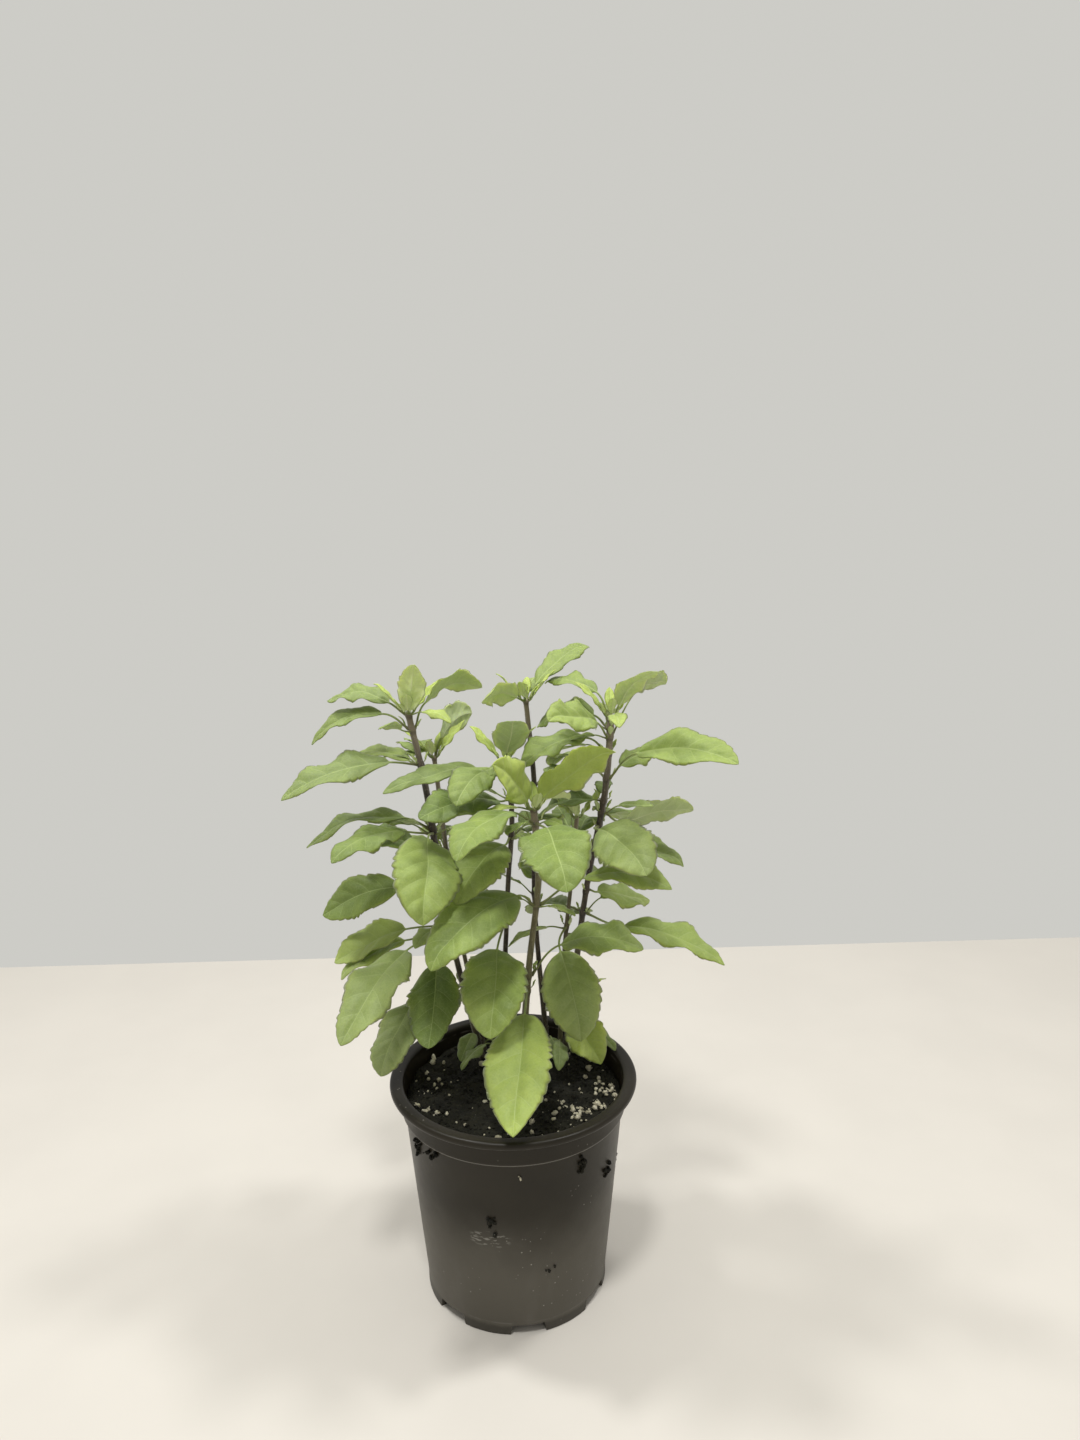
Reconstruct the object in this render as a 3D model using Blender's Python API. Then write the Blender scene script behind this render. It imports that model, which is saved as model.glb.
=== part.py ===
# A potted herb: a black nursery pot, its root ball of potting mix, seven stems and their leaves.
# Frame: metres, +Z up, origin on the pot's axis on the surface that it stands on, front towards -Y.
# Driving sizes are in millimetres and degrees; MM turns them into metres.
import math
import bmesh
import bpy
import numpy as np

MM = 0.001
GAP = 0.3  # clearance between two pieces that touch

# Pot: a thin tapered cup on seven feet, with a step ring under a flanged rim.
POT_HEIGHT = 151.0
RIM_RADIUS = 82.5
RIM_DROP = 4.8  # height of the rolled lip
MOUTH_RADIUS = 73.2  # inside of the wall at the rim
BASE_RADIUS = 61.5
COLLAR_RADIUS = 74.8
COLLAR_DROP = 20.0  # from the rim's top down to the step ring
WALL = 1.5
FOOT_HEIGHT = 7.0
FOOT_DEPTH = 8.0
FOOT_COUNT = 7
FOOT_SEGMENTS = 4  # facets of the pot under one foot
FOOT_TURN = 30.0  # where the first foot starts
SEGMENTS = 49
DRAIN_RADIUS = 5.5
DRAIN_CIRCLE = 44.0

# Root ball: it fills the cup to a little under the rim.
SOIL_TOP = 138.0
SOIL_BUMP = 1.6
SOIL_SEGMENTS = 36
PLANTING_DEPTH = 18.0  # how far each stem goes into the mix

# Stems and leaves.
STEM_SIDES = 8
STALK_HALF = 0.75
BLADE_HALF = 0.3
TIP_HALF = 0.4
FOLD = 12  # each half of a blade rises this much from the midrib
OUTLINE_SKEW = 0.95  # under 1 puts the blade's widest place nearer its base
OUTLINE_POWER = 0.7  # under 1 makes its ends blunter

POT_COLOUR = (0.022, 0.021, 0.019)
SOIL_COLOUR = (0.012, 0.011, 0.008)
BARK_COLOUR = (0.045, 0.035, 0.022)
OLD_LEAF_COLOUR = (0.10, 0.16, 0.045)
YOUNG_LEAF_COLOUR = (0.33, 0.43, 0.09)

# Each stem: the points that it passes through, from the soil up, its radius at foot and tip, and its leaves
# from the top down. The numbers of a leaf, in order:
#   height of its node on the stem
#   heading: the way that its stalk leaves (0 is +X, 90 is +Y)
#   lift: the stalk's rise where it leaves
#   stalk: its length
#   turn: from the stalk's heading to the blade's
#   rise: of the blade at its base
#   droop: how much that rise has fallen at the tip
#   length and width of the blade
#   roll about the midrib: positive lifts the edge on the left, looking outwards
PLANTING = {
    "left": {
        "route": [(-23, 42, 142), (-44, 33, 253), (-55, 24, 352), (-63, 20, 395)],
        "radii": (2.3, 1.9),
        "leaves": [
            (394, -70, 55, 2, 0, 80, 25, 36, 18, -25),
            (393, 160, 40, 12, 0, 25, 55, 48, 20, -20),
            (383, 175, 50, 19, -5, 0, 45, 57, 22, -20),
            (383, 40, 80, 18, -5, 35, 60, 48, 22, -45),
            (359, 150, 5, 6, 0, 25, 55, 48, 22, -10),
            (359, -160, 15, 17, -5, 5, 40, 74, 28, -20),
            (314, 175, 35, 17, 0, 5, 45, 72, 28, -5),
            (311, -140, 15, 20, 0, 20, 50, 60, 26, -10),
            (311, -95, 20, 23, 5, -10, 45, 68, 44, -20),
            (302, 155, -20, 13, 5, 15, 30, 47, 26, -20),
            (267, 175, 15, 26, 0, -5, 35, 59, 30, -45),
            (242, -180, 0, 26, 0, -10, 30, 55, 28, -25),
            (239, -160, -15, 31, 40, -5, 35, 85, 36, -5),
            (196, -170, 0, 36, 55, -15, 35, 57, 32, 0),
        ],
    },
    "left_inner": {
        "route": [(-21, 54, 140), (-40, 49, 262), (-47, 45, 339), (-49, 44, 360)],
        "radii": (1.7, 1.4),
        "leaves": [
            (359, 55, 80, 13, 5, 30, 30, 42, 26, -85),
            (291, 110, 35, 10, 0, 15, 45, 36, 22, 0),
            (235, -160, -10, 36, 0, 0, 45, 52, 26, -5),
            (232, -140, -40, 28, 45, -20, 30, 63, 36, 10),
        ],
    },
    "centre_left": {
        "route": [(-9, 36, 139), (-1, 22, 274), (2, 15, 337), (-2, 12, 364)],
        "radii": (2.0, 1.5),
        "leaves": [
            (362, -80, 40, 12, 0, 60, 30, 38, 24, -5),
            (355, -125, 40, 14, 0, 0, 40, 43, 27, -15),
            (352, -170, 30, 18, 0, 10, 45, 63, 22, -15),
            (337, -145, -15, 6, 0, 20, 40, 63, 30, -20),
            (310, -125, -60, 6, 0, 5, 60, 61, 36, -15),
            (249, -110, -30, 24, 15, -15, 35, 67, 42, -5),
        ],
    },
    "centre": {
        "route": [(25, 46, 138), (17, 39, 262), (18, 34, 340), (13, 30, 400)],
        "radii": (1.9, 1.5),
        "leaves": [
            (399, 30, 65, 11, 5, 50, 45, 51, 22, 10),
            (399, -130, 25, 7, 0, 25, 40, 37, 20, 55),
            (262, 85, 30, 12, 5, 15, 45, 42, 24, 0),
        ],
    },
    "front": {
        "route": [(5, 22, 135), (12, 10, 222), (19, -2, 301), (16, -8, 337)],
        "radii": (2.4, 2.0),
        "leaves": [
            (337, -25, 75, 7, 0, 55, 35, 61, 30, -45),
            (337, -130, 65, 6, 0, 65, 45, 47, 26, -85),
            (327, -130, 40, 24, 5, 15, 50, 64, 34, 5),
            (327, -75, 10, 24, -5, 10, 60, 61, 42, 10),
            (268, -135, 55, 19, 0, 5, 45, 82, 42, -15),
            (268, -15, 45, 35, -5, 20, 40, 61, 28, 15),
            (215, -15, 65, 31, -5, 25, 40, 59, 30, 20),
            (203, -95, -10, 23, 0, -5, 40, 90, 42, 5),
        ],
    },
    "right": {
        "route": [(38, 50, 137), (53, 31, 272), (65, 19, 348), (67, 12, 392)],
        "radii": (2.3, 1.9),
        "leaves": [
            (390, 140, 80, 17, 5, 35, 60, 42, 18, -15),
            (390, -40, 80, 9, -10, 55, 35, 43, 18, -20),
            (383, 150, 55, 11, 0, 15, 60, 47, 24, -30),
            (377, 40, 60, 36, 5, 25, 45, 31, 18, -55),
            (377, -135, 60, 14, -5, 35, 45, 45, 26, -40),
            (366, -165, 60, 17, 0, 5, 50, 49, 26, -15),
            (348, -35, 60, 27, 0, 20, 35, 72, 30, 30),
            (332, 155, 5, 4, 0, -5, 35, 45, 22, -15),
            (324, 15, -55, 16, -5, 15, 20, 50, 24, -60),
            (314, -110, 15, 24, 50, 10, 55, 54, 38, 25),
            (296, 10, 40, 8, -5, 0, 35, 57, 24, 20),
            (266, 25, -40, 6, 0, -5, 30, 47, 24, 25),
            (249, -20, -25, 26, 0, 5, 40, 74, 28, 10),
        ],
    },
    "right_inner": {
        "route": [(33, 40, 137), (39, 41, 236), (42, 41, 263), (47, 42, 316)],
        "radii": (1.7, 1.4),
        "leaves": [
            (296, 70, 35, 10, 0, 20, 50, 42, 24, 0),
            (236, -115, -10, 24, 40, -30, 40, 63, 39, 15),
            (180, -50, -55, 10, -5, -20, 30, 40, 28, 25),
        ],
    },
}


def finish(name, colour, roughness):
    """A plain Principled material of one colour."""
    material = bpy.data.materials.new(name)
    material.use_nodes = True
    shader = material.node_tree.nodes["Principled BSDF"]
    shader.inputs["Base Color"].default_value = (*colour, 1.0)
    shader.inputs["Roughness"].default_value = roughness
    shader.inputs["Metallic"].default_value = 0.0
    return material


def make_object(name, mesh, material):
    """A named object that carries the mesh and one material."""
    mesh.materials.append(material)
    piece = bpy.data.objects.new(name, mesh)
    bpy.context.scene.collection.objects.link(piece)
    return piece


def loft(name, rings, smooth=True):
    """A closed mesh through rings of points; a ring whose points coincide becomes one pole."""
    model = bmesh.new()
    loops = []
    for ring in rings:
        ring = np.asarray(ring) * MM
        if np.ptp(ring, axis=0).max() < 1e-7:
            loops.append([model.verts.new(ring[0])] * len(ring))
        else:
            loops.append([model.verts.new(point) for point in ring])
    for lower, upper in zip(loops, loops[1:]):
        for i in range(len(lower)):
            j = (i + 1) % len(lower)
            corners = list(dict.fromkeys((lower[i], lower[j], upper[j], upper[i])))
            model.faces.new(corners)
    if len(set(loops[0])) > 1:
        model.faces.new(loops[0][::-1])
    if len(set(loops[-1])) > 1:
        model.faces.new(loops[-1])
    bmesh.ops.recalc_face_normals(model, faces=model.faces[:])
    mesh = bpy.data.meshes.new(name)
    model.to_mesh(mesh)
    model.free()
    if smooth:
        mesh.shade_smooth()
        mesh.set_sharp_from_angle(angle=math.radians(40))
    return mesh


def turned_rings(profile, segments, turn=0.0):
    """Rings about the Z axis for a list of (radius, height) points, the first point of each at the turn."""
    angles = np.arange(segments) * 2 * math.pi / segments + math.radians(turn)
    circle = np.stack([np.cos(angles), np.sin(angles)], axis=1)
    return [np.column_stack([radius * circle, np.full(segments, height)]) for radius, height in profile]


def wall_radius(height):
    """Outside radius of the tapered wall, below the step ring."""
    share = (height - FOOT_HEIGHT) / (POT_HEIGHT - FOOT_HEIGHT)
    return BASE_RADIUS + share * (MOUTH_RADIUS + WALL - BASE_RADIUS)


def pot_mesh():
    """The cup as one turned wall, with its feet pulled down from the underside."""
    top = POT_HEIGHT
    lip = top - RIM_DROP
    step = top - COLLAR_DROP
    floor = FOOT_HEIGHT + WALL
    foot_inner = BASE_RADIUS - FOOT_DEPTH
    profile = [
        (0.0, FOOT_HEIGHT),
        (foot_inner, FOOT_HEIGHT),
        (BASE_RADIUS, FOOT_HEIGHT),
        (wall_radius(step - 1.0), step - 1.0),
        (COLLAR_RADIUS, step),
        (COLLAR_RADIUS + 0.6, lip + 1.0),
        (RIM_RADIUS - 2.0, lip),
        (RIM_RADIUS - 0.6, lip + 0.6),
        (RIM_RADIUS, lip + 2.4),
        (RIM_RADIUS - 1.0, top - 0.6),
        (RIM_RADIUS - 2.2, top),
        (MOUTH_RADIUS + 1.4, top - 0.2),
        (MOUTH_RADIUS, top - 1.4),
        (wall_radius(floor) - WALL, floor),
        (0.0, floor),
    ]
    mesh = loft("pot", turned_rings(profile, SEGMENTS, FOOT_TURN))
    model = bmesh.new()
    model.from_mesh(mesh)
    per_foot = SEGMENTS // FOOT_COUNT
    for foot in range(FOOT_COUNT):
        under = []
        for face in model.faces:
            middle = face.calc_center_median() / MM
            radius = math.hypot(middle.x, middle.y)
            facet = int((math.degrees(math.atan2(middle.y, middle.x)) - FOOT_TURN) % 360 / (360 / SEGMENTS))
            on_ring = foot_inner < radius < BASE_RADIUS and abs(middle.z - FOOT_HEIGHT) < 0.01
            if on_ring and (facet - foot * per_foot) % SEGMENTS < FOOT_SEGMENTS:
                under.append(face)
        pulled = bmesh.ops.extrude_face_region(model, geom=under)["geom"]
        bmesh.ops.delete(model, geom=under, context="FACES_ONLY")
        for part in pulled:
            if isinstance(part, bmesh.types.BMVert):
                part.co.z = 0.0
    bmesh.ops.recalc_face_normals(model, faces=model.faces[:])
    model.to_mesh(mesh)
    model.free()
    return mesh


def guide(name, mesh):
    """A cutter that stays out of the finished model."""
    cutter = make_object(name, mesh, finish(name, POT_COLOUR, 0.5))
    cutter.display_type = "WIRE"
    cutter.hide_render = True
    return cutter


def cut(piece, cutter):
    """Subtract the cutter from the piece."""
    boolean = piece.modifiers.new("cut", "BOOLEAN")
    boolean.operation = "DIFFERENCE"
    boolean.solver = "EXACT"
    boolean.object = cutter


def drain_cutter():
    """Upright pins through the floor: one in the middle and one inside each gap between the feet."""
    pins = bmesh.new()
    facet = 360 / SEGMENTS
    gap_middle = FOOT_TURN + (FOOT_SEGMENTS + (SEGMENTS / FOOT_COUNT - FOOT_SEGMENTS) / 2) * facet
    places = [(0.0, 0.0)]
    for foot in range(FOOT_COUNT):
        angle = math.radians(foot * 360 / FOOT_COUNT + gap_middle)
        places.append((DRAIN_CIRCLE * math.cos(angle), DRAIN_CIRCLE * math.sin(angle)))
    for x, y in places:
        made = bmesh.ops.create_cone(pins, cap_ends=True, segments=12, radius1=DRAIN_RADIUS * MM,
                                     radius2=DRAIN_RADIUS * MM, depth=3 * WALL * MM)
        bmesh.ops.translate(pins, verts=made["verts"], vec=(x * MM, y * MM, (FOOT_HEIGHT + WALL / 2) * MM))
    mesh = bpy.data.meshes.new("drain_pins")
    pins.to_mesh(mesh)
    pins.free()
    return guide("drain_pins", mesh)


def soil_mesh():
    """The root ball: the cup's inside less the gap, with a gently lumpy top."""
    bottom = FOOT_HEIGHT + WALL + GAP
    edge = SOIL_TOP - 1.0
    low_radius, high_radius = (wall_radius(height) - WALL - GAP for height in (bottom, edge))
    rings = turned_rings([(0.0, bottom), (low_radius, bottom), (high_radius, edge)], SOIL_SEGMENTS)
    for share in (0.94, 0.78, 0.6, 0.4, 0.2, 0.0):
        ring = turned_rings([(share * high_radius, SOIL_TOP)], SOIL_SEGMENTS)[0]
        x, y = ring[:, 0], ring[:, 1]
        ring[:, 2] += SOIL_BUMP * (np.sin(0.13 * x + 0.6) * np.cos(0.11 * y) + 0.5 * np.sin(0.27 * (x + y)))
        rings.append(ring)
    return loft("soil", rings)


def smooth_route(points, count=90):
    """Points along a smooth curve through the given ones (cubic pieces with shared slopes)."""
    points = np.array(points, float)
    along = np.concatenate([[0.0], np.cumsum(np.linalg.norm(np.diff(points, axis=0), axis=1))])
    slopes = np.gradient(points, along, axis=0)
    place = np.linspace(0.0, along[-1], count)
    i = np.clip(np.searchsorted(along, place, side="right") - 1, 0, len(points) - 2)
    span = (along[i + 1] - along[i])[:, None]
    u = (place - along[i])[:, None] / span
    return ((2 * u**3 - 3 * u**2 + 1) * points[i] + (u**3 - 2 * u**2 + u) * span * slopes[i]
            + (3 * u**2 - 2 * u**3) * points[i + 1] + (u**3 - u**2) * span * slopes[i + 1])


def stem_route(points):
    """The stem's centre line, with its planted end carried down into the mix."""
    first, second = np.array(points[0], float), np.array(points[1], float)
    down = (first - second) / (first - second)[2]
    planted = first + down * (SOIL_TOP - PLANTING_DEPTH - first[2])
    return smooth_route([planted] + list(points))


def at_height(route, height):
    """The point of a rising route at a height."""
    return np.array([np.interp(height, route[:, 2], route[:, axis]) for axis in range(3)])


def stem_radius(route, radii, height):
    """A stem thins evenly from its foot to its tip."""
    share = (height - route[0, 2]) / (route[-1, 2] - route[0, 2])
    return radii[0] + share * (radii[1] - radii[0])


def stem_mesh(name, route, radii, top, extra=0.0, rings=12):
    """A round rod along the route up to a height; extra widens it, for the socket that it stands in."""
    angles = np.arange(STEM_SIDES) * 2 * math.pi / STEM_SIDES
    levels = np.linspace(route[0, 2] - extra, top, rings)
    hoops = []
    for level in levels:
        centre = at_height(route, level)
        centre[2] = level
        radius = (stem_radius(route, radii, level) + extra) / math.cos(math.pi / STEM_SIDES)
        hoops.append(centre + radius * np.stack([np.cos(angles), np.sin(angles), 0 * angles], axis=1))
    return loft(name, hoops)


def leaf_mesh(name, node, stem_size, leaf):
    """Stalk and blade in one body: a flat section carried along the stalk and the midrib.

    The stalk bends with the square of its length from its own direction to the blade's. The blade's rise
    falls evenly by its droop, and its half width follows a sine raised to a power."""
    heading, lift, stalk, turn, rise, droop, length, width, roll = leaf[1:]
    steps = 12
    early = (np.arange(steps) + 0.5) / steps
    late = (np.arange(3 * steps) + 0.5) / (3 * steps)
    yaw = np.radians(np.concatenate([heading + turn * early**2, np.full(3 * steps, heading + turn)]))
    pitch = np.radians(np.concatenate([lift + (rise - lift) * early**2, rise - droop * late]))
    step = np.concatenate([np.full(steps, stalk / steps), np.full(3 * steps, length / (3 * steps))])
    forward = np.stack([np.cos(pitch) * np.cos(yaw), np.cos(pitch) * np.sin(yaw), np.sin(pitch)], axis=1)
    out = math.radians(heading)
    corner = stem_size / math.cos(math.pi / STEM_SIDES)  # the stem's radius at its corners
    reach = corner + GAP + 0.2 + STALK_HALF * abs(math.sin(math.radians(lift)))
    start = node + reach * np.array([math.cos(out), math.sin(out), 0.0])
    line = start + np.concatenate([np.zeros((1, 3)), np.cumsum(forward * step[:, None], axis=0)])

    side = np.stack([-np.sin(yaw), np.cos(yaw), 0 * yaw], axis=1)
    normal = np.cross(forward, side)
    tilt = math.radians(roll)
    across = math.cos(tilt) * side + math.sin(tilt) * normal
    above = math.cos(tilt) * normal - math.sin(tilt) * side
    fold = math.radians(FOLD)
    rings = []
    for place in (0, 4, 8, 12, 14, 18, 22, 27, 32, 37, 42, 46, 48):  # closer together at the blade's ends
        k = min(place, len(yaw) - 1)
        share = (place - steps) / (3 * steps)
        if share > 0:
            outline = max(math.sin(math.pi * share**OUTLINE_SKEW), 0.0) ** OUTLINE_POWER
            half, thick = max(width / 2 * outline, TIP_HALF), BLADE_HALF
        else:
            half, thick = STALK_HALF, STALK_HALF
        left = half * (math.cos(fold) * across[k] + math.sin(fold) * above[k])
        right = half * (math.sin(fold) * above[k] - math.cos(fold) * across[k])
        skin = thick * above[k]
        rings.append([line[place] + offset for offset in
                      (left + skin, skin, right + skin, right - skin, -skin, left - skin)])
    return loft(name, rings, smooth=False)


def blend(low, high, share):
    """A colour between two others."""
    return tuple(a + (b - a) * share for a, b in zip(low, high))


def build():
    for leftover in list(bpy.data.objects):
        bpy.data.objects.remove(leftover, do_unlink=True)

    pot = make_object("pot", pot_mesh(), finish("pot_plastic", POT_COLOUR, 0.42))
    cut(pot, drain_cutter())
    soil = make_object("soil", soil_mesh(), finish("potting_mix", SOIL_COLOUR, 0.95))

    for stem_name, plan in PLANTING.items():
        route = stem_route(plan["route"])
        node_name = stem_name + "_stem"
        top = route[-1, 2]
        bark = finish(node_name + "_bark", BARK_COLOUR, 0.7)
        radii = plan["radii"]
        make_object(node_name, stem_mesh(node_name, route, radii, top), bark)
        socket = stem_mesh(stem_name + "_socket", route, radii, SOIL_TOP + 4 * SOIL_BUMP, extra=GAP, rings=4)
        cut(soil, guide(stem_name + "_socket", socket))
        for number, leaf in enumerate(plan["leaves"], start=1):
            leaf_name = f"{stem_name}_leaf_{number}"
            node = at_height(route, leaf[0])
            youth = (leaf[0] - SOIL_TOP) / (top - SOIL_TOP)
            colour = blend(OLD_LEAF_COLOUR, YOUNG_LEAF_COLOUR, youth**2)
            mesh = leaf_mesh(leaf_name, node, stem_radius(route, radii, leaf[0]), leaf)
            make_object(leaf_name, mesh, finish(leaf_name + "_skin", colour, 0.6))


build()
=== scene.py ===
import math
import bpy
import numpy as np
from mathutils import Matrix, Vector


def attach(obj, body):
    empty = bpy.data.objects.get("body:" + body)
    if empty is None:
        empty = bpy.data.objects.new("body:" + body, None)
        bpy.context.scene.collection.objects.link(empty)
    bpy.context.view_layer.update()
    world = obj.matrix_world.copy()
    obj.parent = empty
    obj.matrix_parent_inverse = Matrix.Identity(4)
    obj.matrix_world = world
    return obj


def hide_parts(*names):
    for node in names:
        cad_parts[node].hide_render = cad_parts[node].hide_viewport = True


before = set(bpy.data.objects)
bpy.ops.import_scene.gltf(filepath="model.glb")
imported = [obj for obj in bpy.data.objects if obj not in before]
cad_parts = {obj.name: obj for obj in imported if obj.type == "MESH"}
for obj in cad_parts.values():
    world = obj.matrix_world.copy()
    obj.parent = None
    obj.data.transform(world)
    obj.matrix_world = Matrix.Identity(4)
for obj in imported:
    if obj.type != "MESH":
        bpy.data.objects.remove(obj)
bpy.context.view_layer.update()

# A potted herb: finer surfaces for its leaves, stems, pot and soil, in place of the frame's plain ones.
# Lengths are in millimetres and angles in degrees until a mesh is made; mm turns them into metres.
mm = 0.001
scene = bpy.context.scene
scene.view_settings.view_transform = "Standard"


cameraPlan = {
    "place": (0.0, -637.0, 525.0),
    "pitch": 11.8,  # looks down by this much
    "yaw": 1.91,  # turned to the right
    "roll": -0.8,
    "lens": 26.0,
    "sensor": 36.0,
}


def makeCamera(plan):
    # turn about Z for the yaw, about X for the pitch, then about the view axis for the roll
    data = bpy.data.cameras.new("viewCamera")
    data.lens = plan["lens"]
    data.sensor_width = plan["sensor"]
    data.clip_start, data.clip_end = 0.01, 20.0
    camera = bpy.data.objects.new("viewCamera", data)
    scene.collection.objects.link(camera)
    turn = (
        Matrix.Rotation(math.radians(-plan["yaw"]), 4, "Z")
        @ Matrix.Rotation(math.radians(90.0 - plan["pitch"]), 4, "X")
        @ Matrix.Rotation(math.radians(plan["roll"]), 4, "Z")
    )
    camera.matrix_world = Matrix.Translation([value * mm for value in plan["place"]]) @ turn
    scene.camera = camera


makeCamera(cameraPlan)
print("camera placed")


class Value:
    # a socket that Python's operators work on: each one adds a Math node
    def __init__(self, finish, socket):
        self.finish = finish
        self.socket = socket

    def __add__(self, other):
        return self.finish.maths("ADD", self, other)

    def __sub__(self, other):
        return self.finish.maths("SUBTRACT", self, other)

    def __rsub__(self, other):
        return self.finish.maths("SUBTRACT", other, self)

    def __mul__(self, other):
        return self.finish.maths("MULTIPLY", self, other)

    def __truediv__(self, other):
        return self.finish.maths("DIVIDE", self, other)

    def __pow__(self, other):
        return self.finish.maths("POWER", self, other)

    def __abs__(self):
        return self.finish.maths("ABSOLUTE", self)

    __radd__ = __add__

    def sine(self):
        return self.finish.maths("SINE", self)

    def clamped(self):
        return self.finish.maths("ADD", self, 0.0, clamp=True)

    def stepped(self, low, high):
        # 0 below low, 1 above high and a smooth rise between; low above high turns it round
        node = self.finish.node(
            "ShaderNodeMapRange",
            {"interpolation_type": "SMOOTHSTEP"},
            {"Value": self, "From Min": low, "From Max": high},
        )
        return Value(self.finish, node.outputs["Result"])


class Finish:
    # a material being written: every node comes from node(), which takes its settings before its inputs
    def __init__(self, name, roughness=0.5, **constants):
        self.material = bpy.data.materials.new(name)
        self.material.use_nodes = True
        self.tree = self.material.node_tree
        self.shader = self.tree.nodes["Principled BSDF"]
        self.shader.inputs["Roughness"].default_value = roughness
        for socket, constant in constants.items():
            self.shader.inputs[socket.replace("_", " ")].default_value = constant

    def node(self, kind, settings=None, inputs=None):
        made = self.tree.nodes.new(kind)
        for setting, value in (settings or {}).items():
            setattr(made, setting, value)
        for key, value in (inputs or {}).items():
            self.feed(made.inputs[key], value)
        return made

    def feed(self, socket, value):
        value = value.socket if isinstance(value, Value) else value
        if isinstance(value, bpy.types.NodeSocket):
            self.tree.links.new(value, socket)
        elif isinstance(value, (tuple, list)) and socket.type == "RGBA":
            socket.default_value = (*value[:3], 1.0)
        else:
            socket.default_value = value

    def maths(self, operation, *terms, clamp=False):
        settings = {"operation": operation, "use_clamp": clamp}
        made = self.node("ShaderNodeMath", settings, dict(enumerate(terms)))
        return Value(self, made.outputs[0])

    def mix(self, share, low, high):
        # low where share is 0, high where it is 1
        made = self.node("ShaderNodeMix", {"data_type": "RGBA"}, {0: share, 6: low, 7: high})
        return made.outputs[2]

    def objectPlace(self, stretch=(1.0, 1.0, 1.0)):
        source = self.node("ShaderNodeTexCoord").outputs["Object"]
        return self.node("ShaderNodeMapping", None, {"Vector": source, "Scale": stretch}).outputs[0]

    def noise(self, scale, detail=3.0, roughness=0.55, place=None):
        place = place or self.objectPlace()
        inputs = {"Vector": place, "Scale": scale, "Detail": detail, "Roughness": roughness}
        return Value(self, self.node("ShaderNodeTexNoise", None, inputs).outputs[0])

    def cells(self, scale, feature="F1", place=None):
        place = place or self.objectPlace()
        made = self.node("ShaderNodeTexVoronoi", {"feature": feature}, {"Vector": place, "Scale": scale})
        return Value(self, made.outputs["Distance"])

    def parts(self, vector):
        split = self.node("ShaderNodeSeparateXYZ", None, {0: vector})
        return [Value(self, part) for part in split.outputs]

    def attribute(self, name):
        # the three numbers of a vector that the mesh carries
        return self.parts(self.node("ShaderNodeAttribute", {"attribute_name": name}).outputs["Vector"])

    def finished(self, colour, roughness=None, height=None, strength=0.5, distance=0.0005):
        self.feed(self.shader.inputs["Base Color"], colour)
        if roughness is not None:
            self.feed(self.shader.inputs["Roughness"], roughness)
        if height is not None:
            inputs = {"Strength": strength, "Distance": distance, "Height": height}
            bump = self.node("ShaderNodeBump", None, inputs)
            self.feed(self.shader.inputs["Normal"], bump.outputs[0])
        return self.material


stagePlan = {
    "width": 5000.0,
    "front": -3000.0,
    "back": 520.0,  # its far edge, with the pale backdrop beyond
    "thickness": 30.0,
    "floorColour": (0.66, 0.625, 0.56),
    "backdropColour": (0.61, 0.605, 0.57),  # what the camera sees beyond the floor
    "ambientColour": (1.0, 0.985, 0.95),
    "ambient": (0.52, 0.62),  # light from the front and from the back
    "lamps": [  # place, size, watts
        ((-500.0, 150.0, 1500.0), 170.0, 7.6),
        ((560.0, 50.0, 1550.0), 170.0, 7.2),
        ((-150.0, -600.0, 1600.0), 200.0, 9.6),
    ],
}


def floorFinish(colour):
    finish = Finish("paleFloor", 0.55)
    cloud = finish.noise(9.0, 4.0)
    tint = finish.mix(cloud.stepped(0.3, 0.7), [part * 0.97 for part in colour], colour)
    return finish.finished(tint, 0.5 + cloud * 0.15, finish.noise(900.0), 0.05)


def makeWorld(plan):
    # the room's light grows from front to back with (1 + y) / 2 of its direction; the backdrop is even
    world = bpy.data.worlds.new("paleBackdrop")
    world.use_nodes = True
    tree = world.node_tree
    scene.world = world
    light = tree.nodes["Background"]
    light.inputs["Color"].default_value = (*plan["ambientColour"], 1.0)
    direction = tree.nodes.new("ShaderNodeTexCoord").outputs["Generated"]
    parts = tree.nodes.new("ShaderNodeSeparateXYZ")
    tree.links.new(direction, parts.inputs[0])
    grade = tree.nodes.new("ShaderNodeMapRange")
    for key, value in zip(("From Min", "From Max", "To Min", "To Max"), (-1.0, 1.0, *plan["ambient"])):
        grade.inputs[key].default_value = value
    tree.links.new(parts.outputs["Y"], grade.inputs["Value"])
    tree.links.new(grade.outputs["Result"], light.inputs["Strength"])
    seen = tree.nodes.new("ShaderNodeBackground")
    seen.inputs["Color"].default_value = (*plan["backdropColour"], 1.0)
    which = tree.nodes.new("ShaderNodeMixShader")
    tree.links.new(tree.nodes.new("ShaderNodeLightPath").outputs["Is Camera Ray"], which.inputs["Fac"])
    tree.links.new(light.outputs[0], which.inputs[1])
    tree.links.new(seen.outputs[0], which.inputs[2])
    tree.links.new(which.outputs[0], tree.nodes["World Output"].inputs["Surface"])


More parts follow.
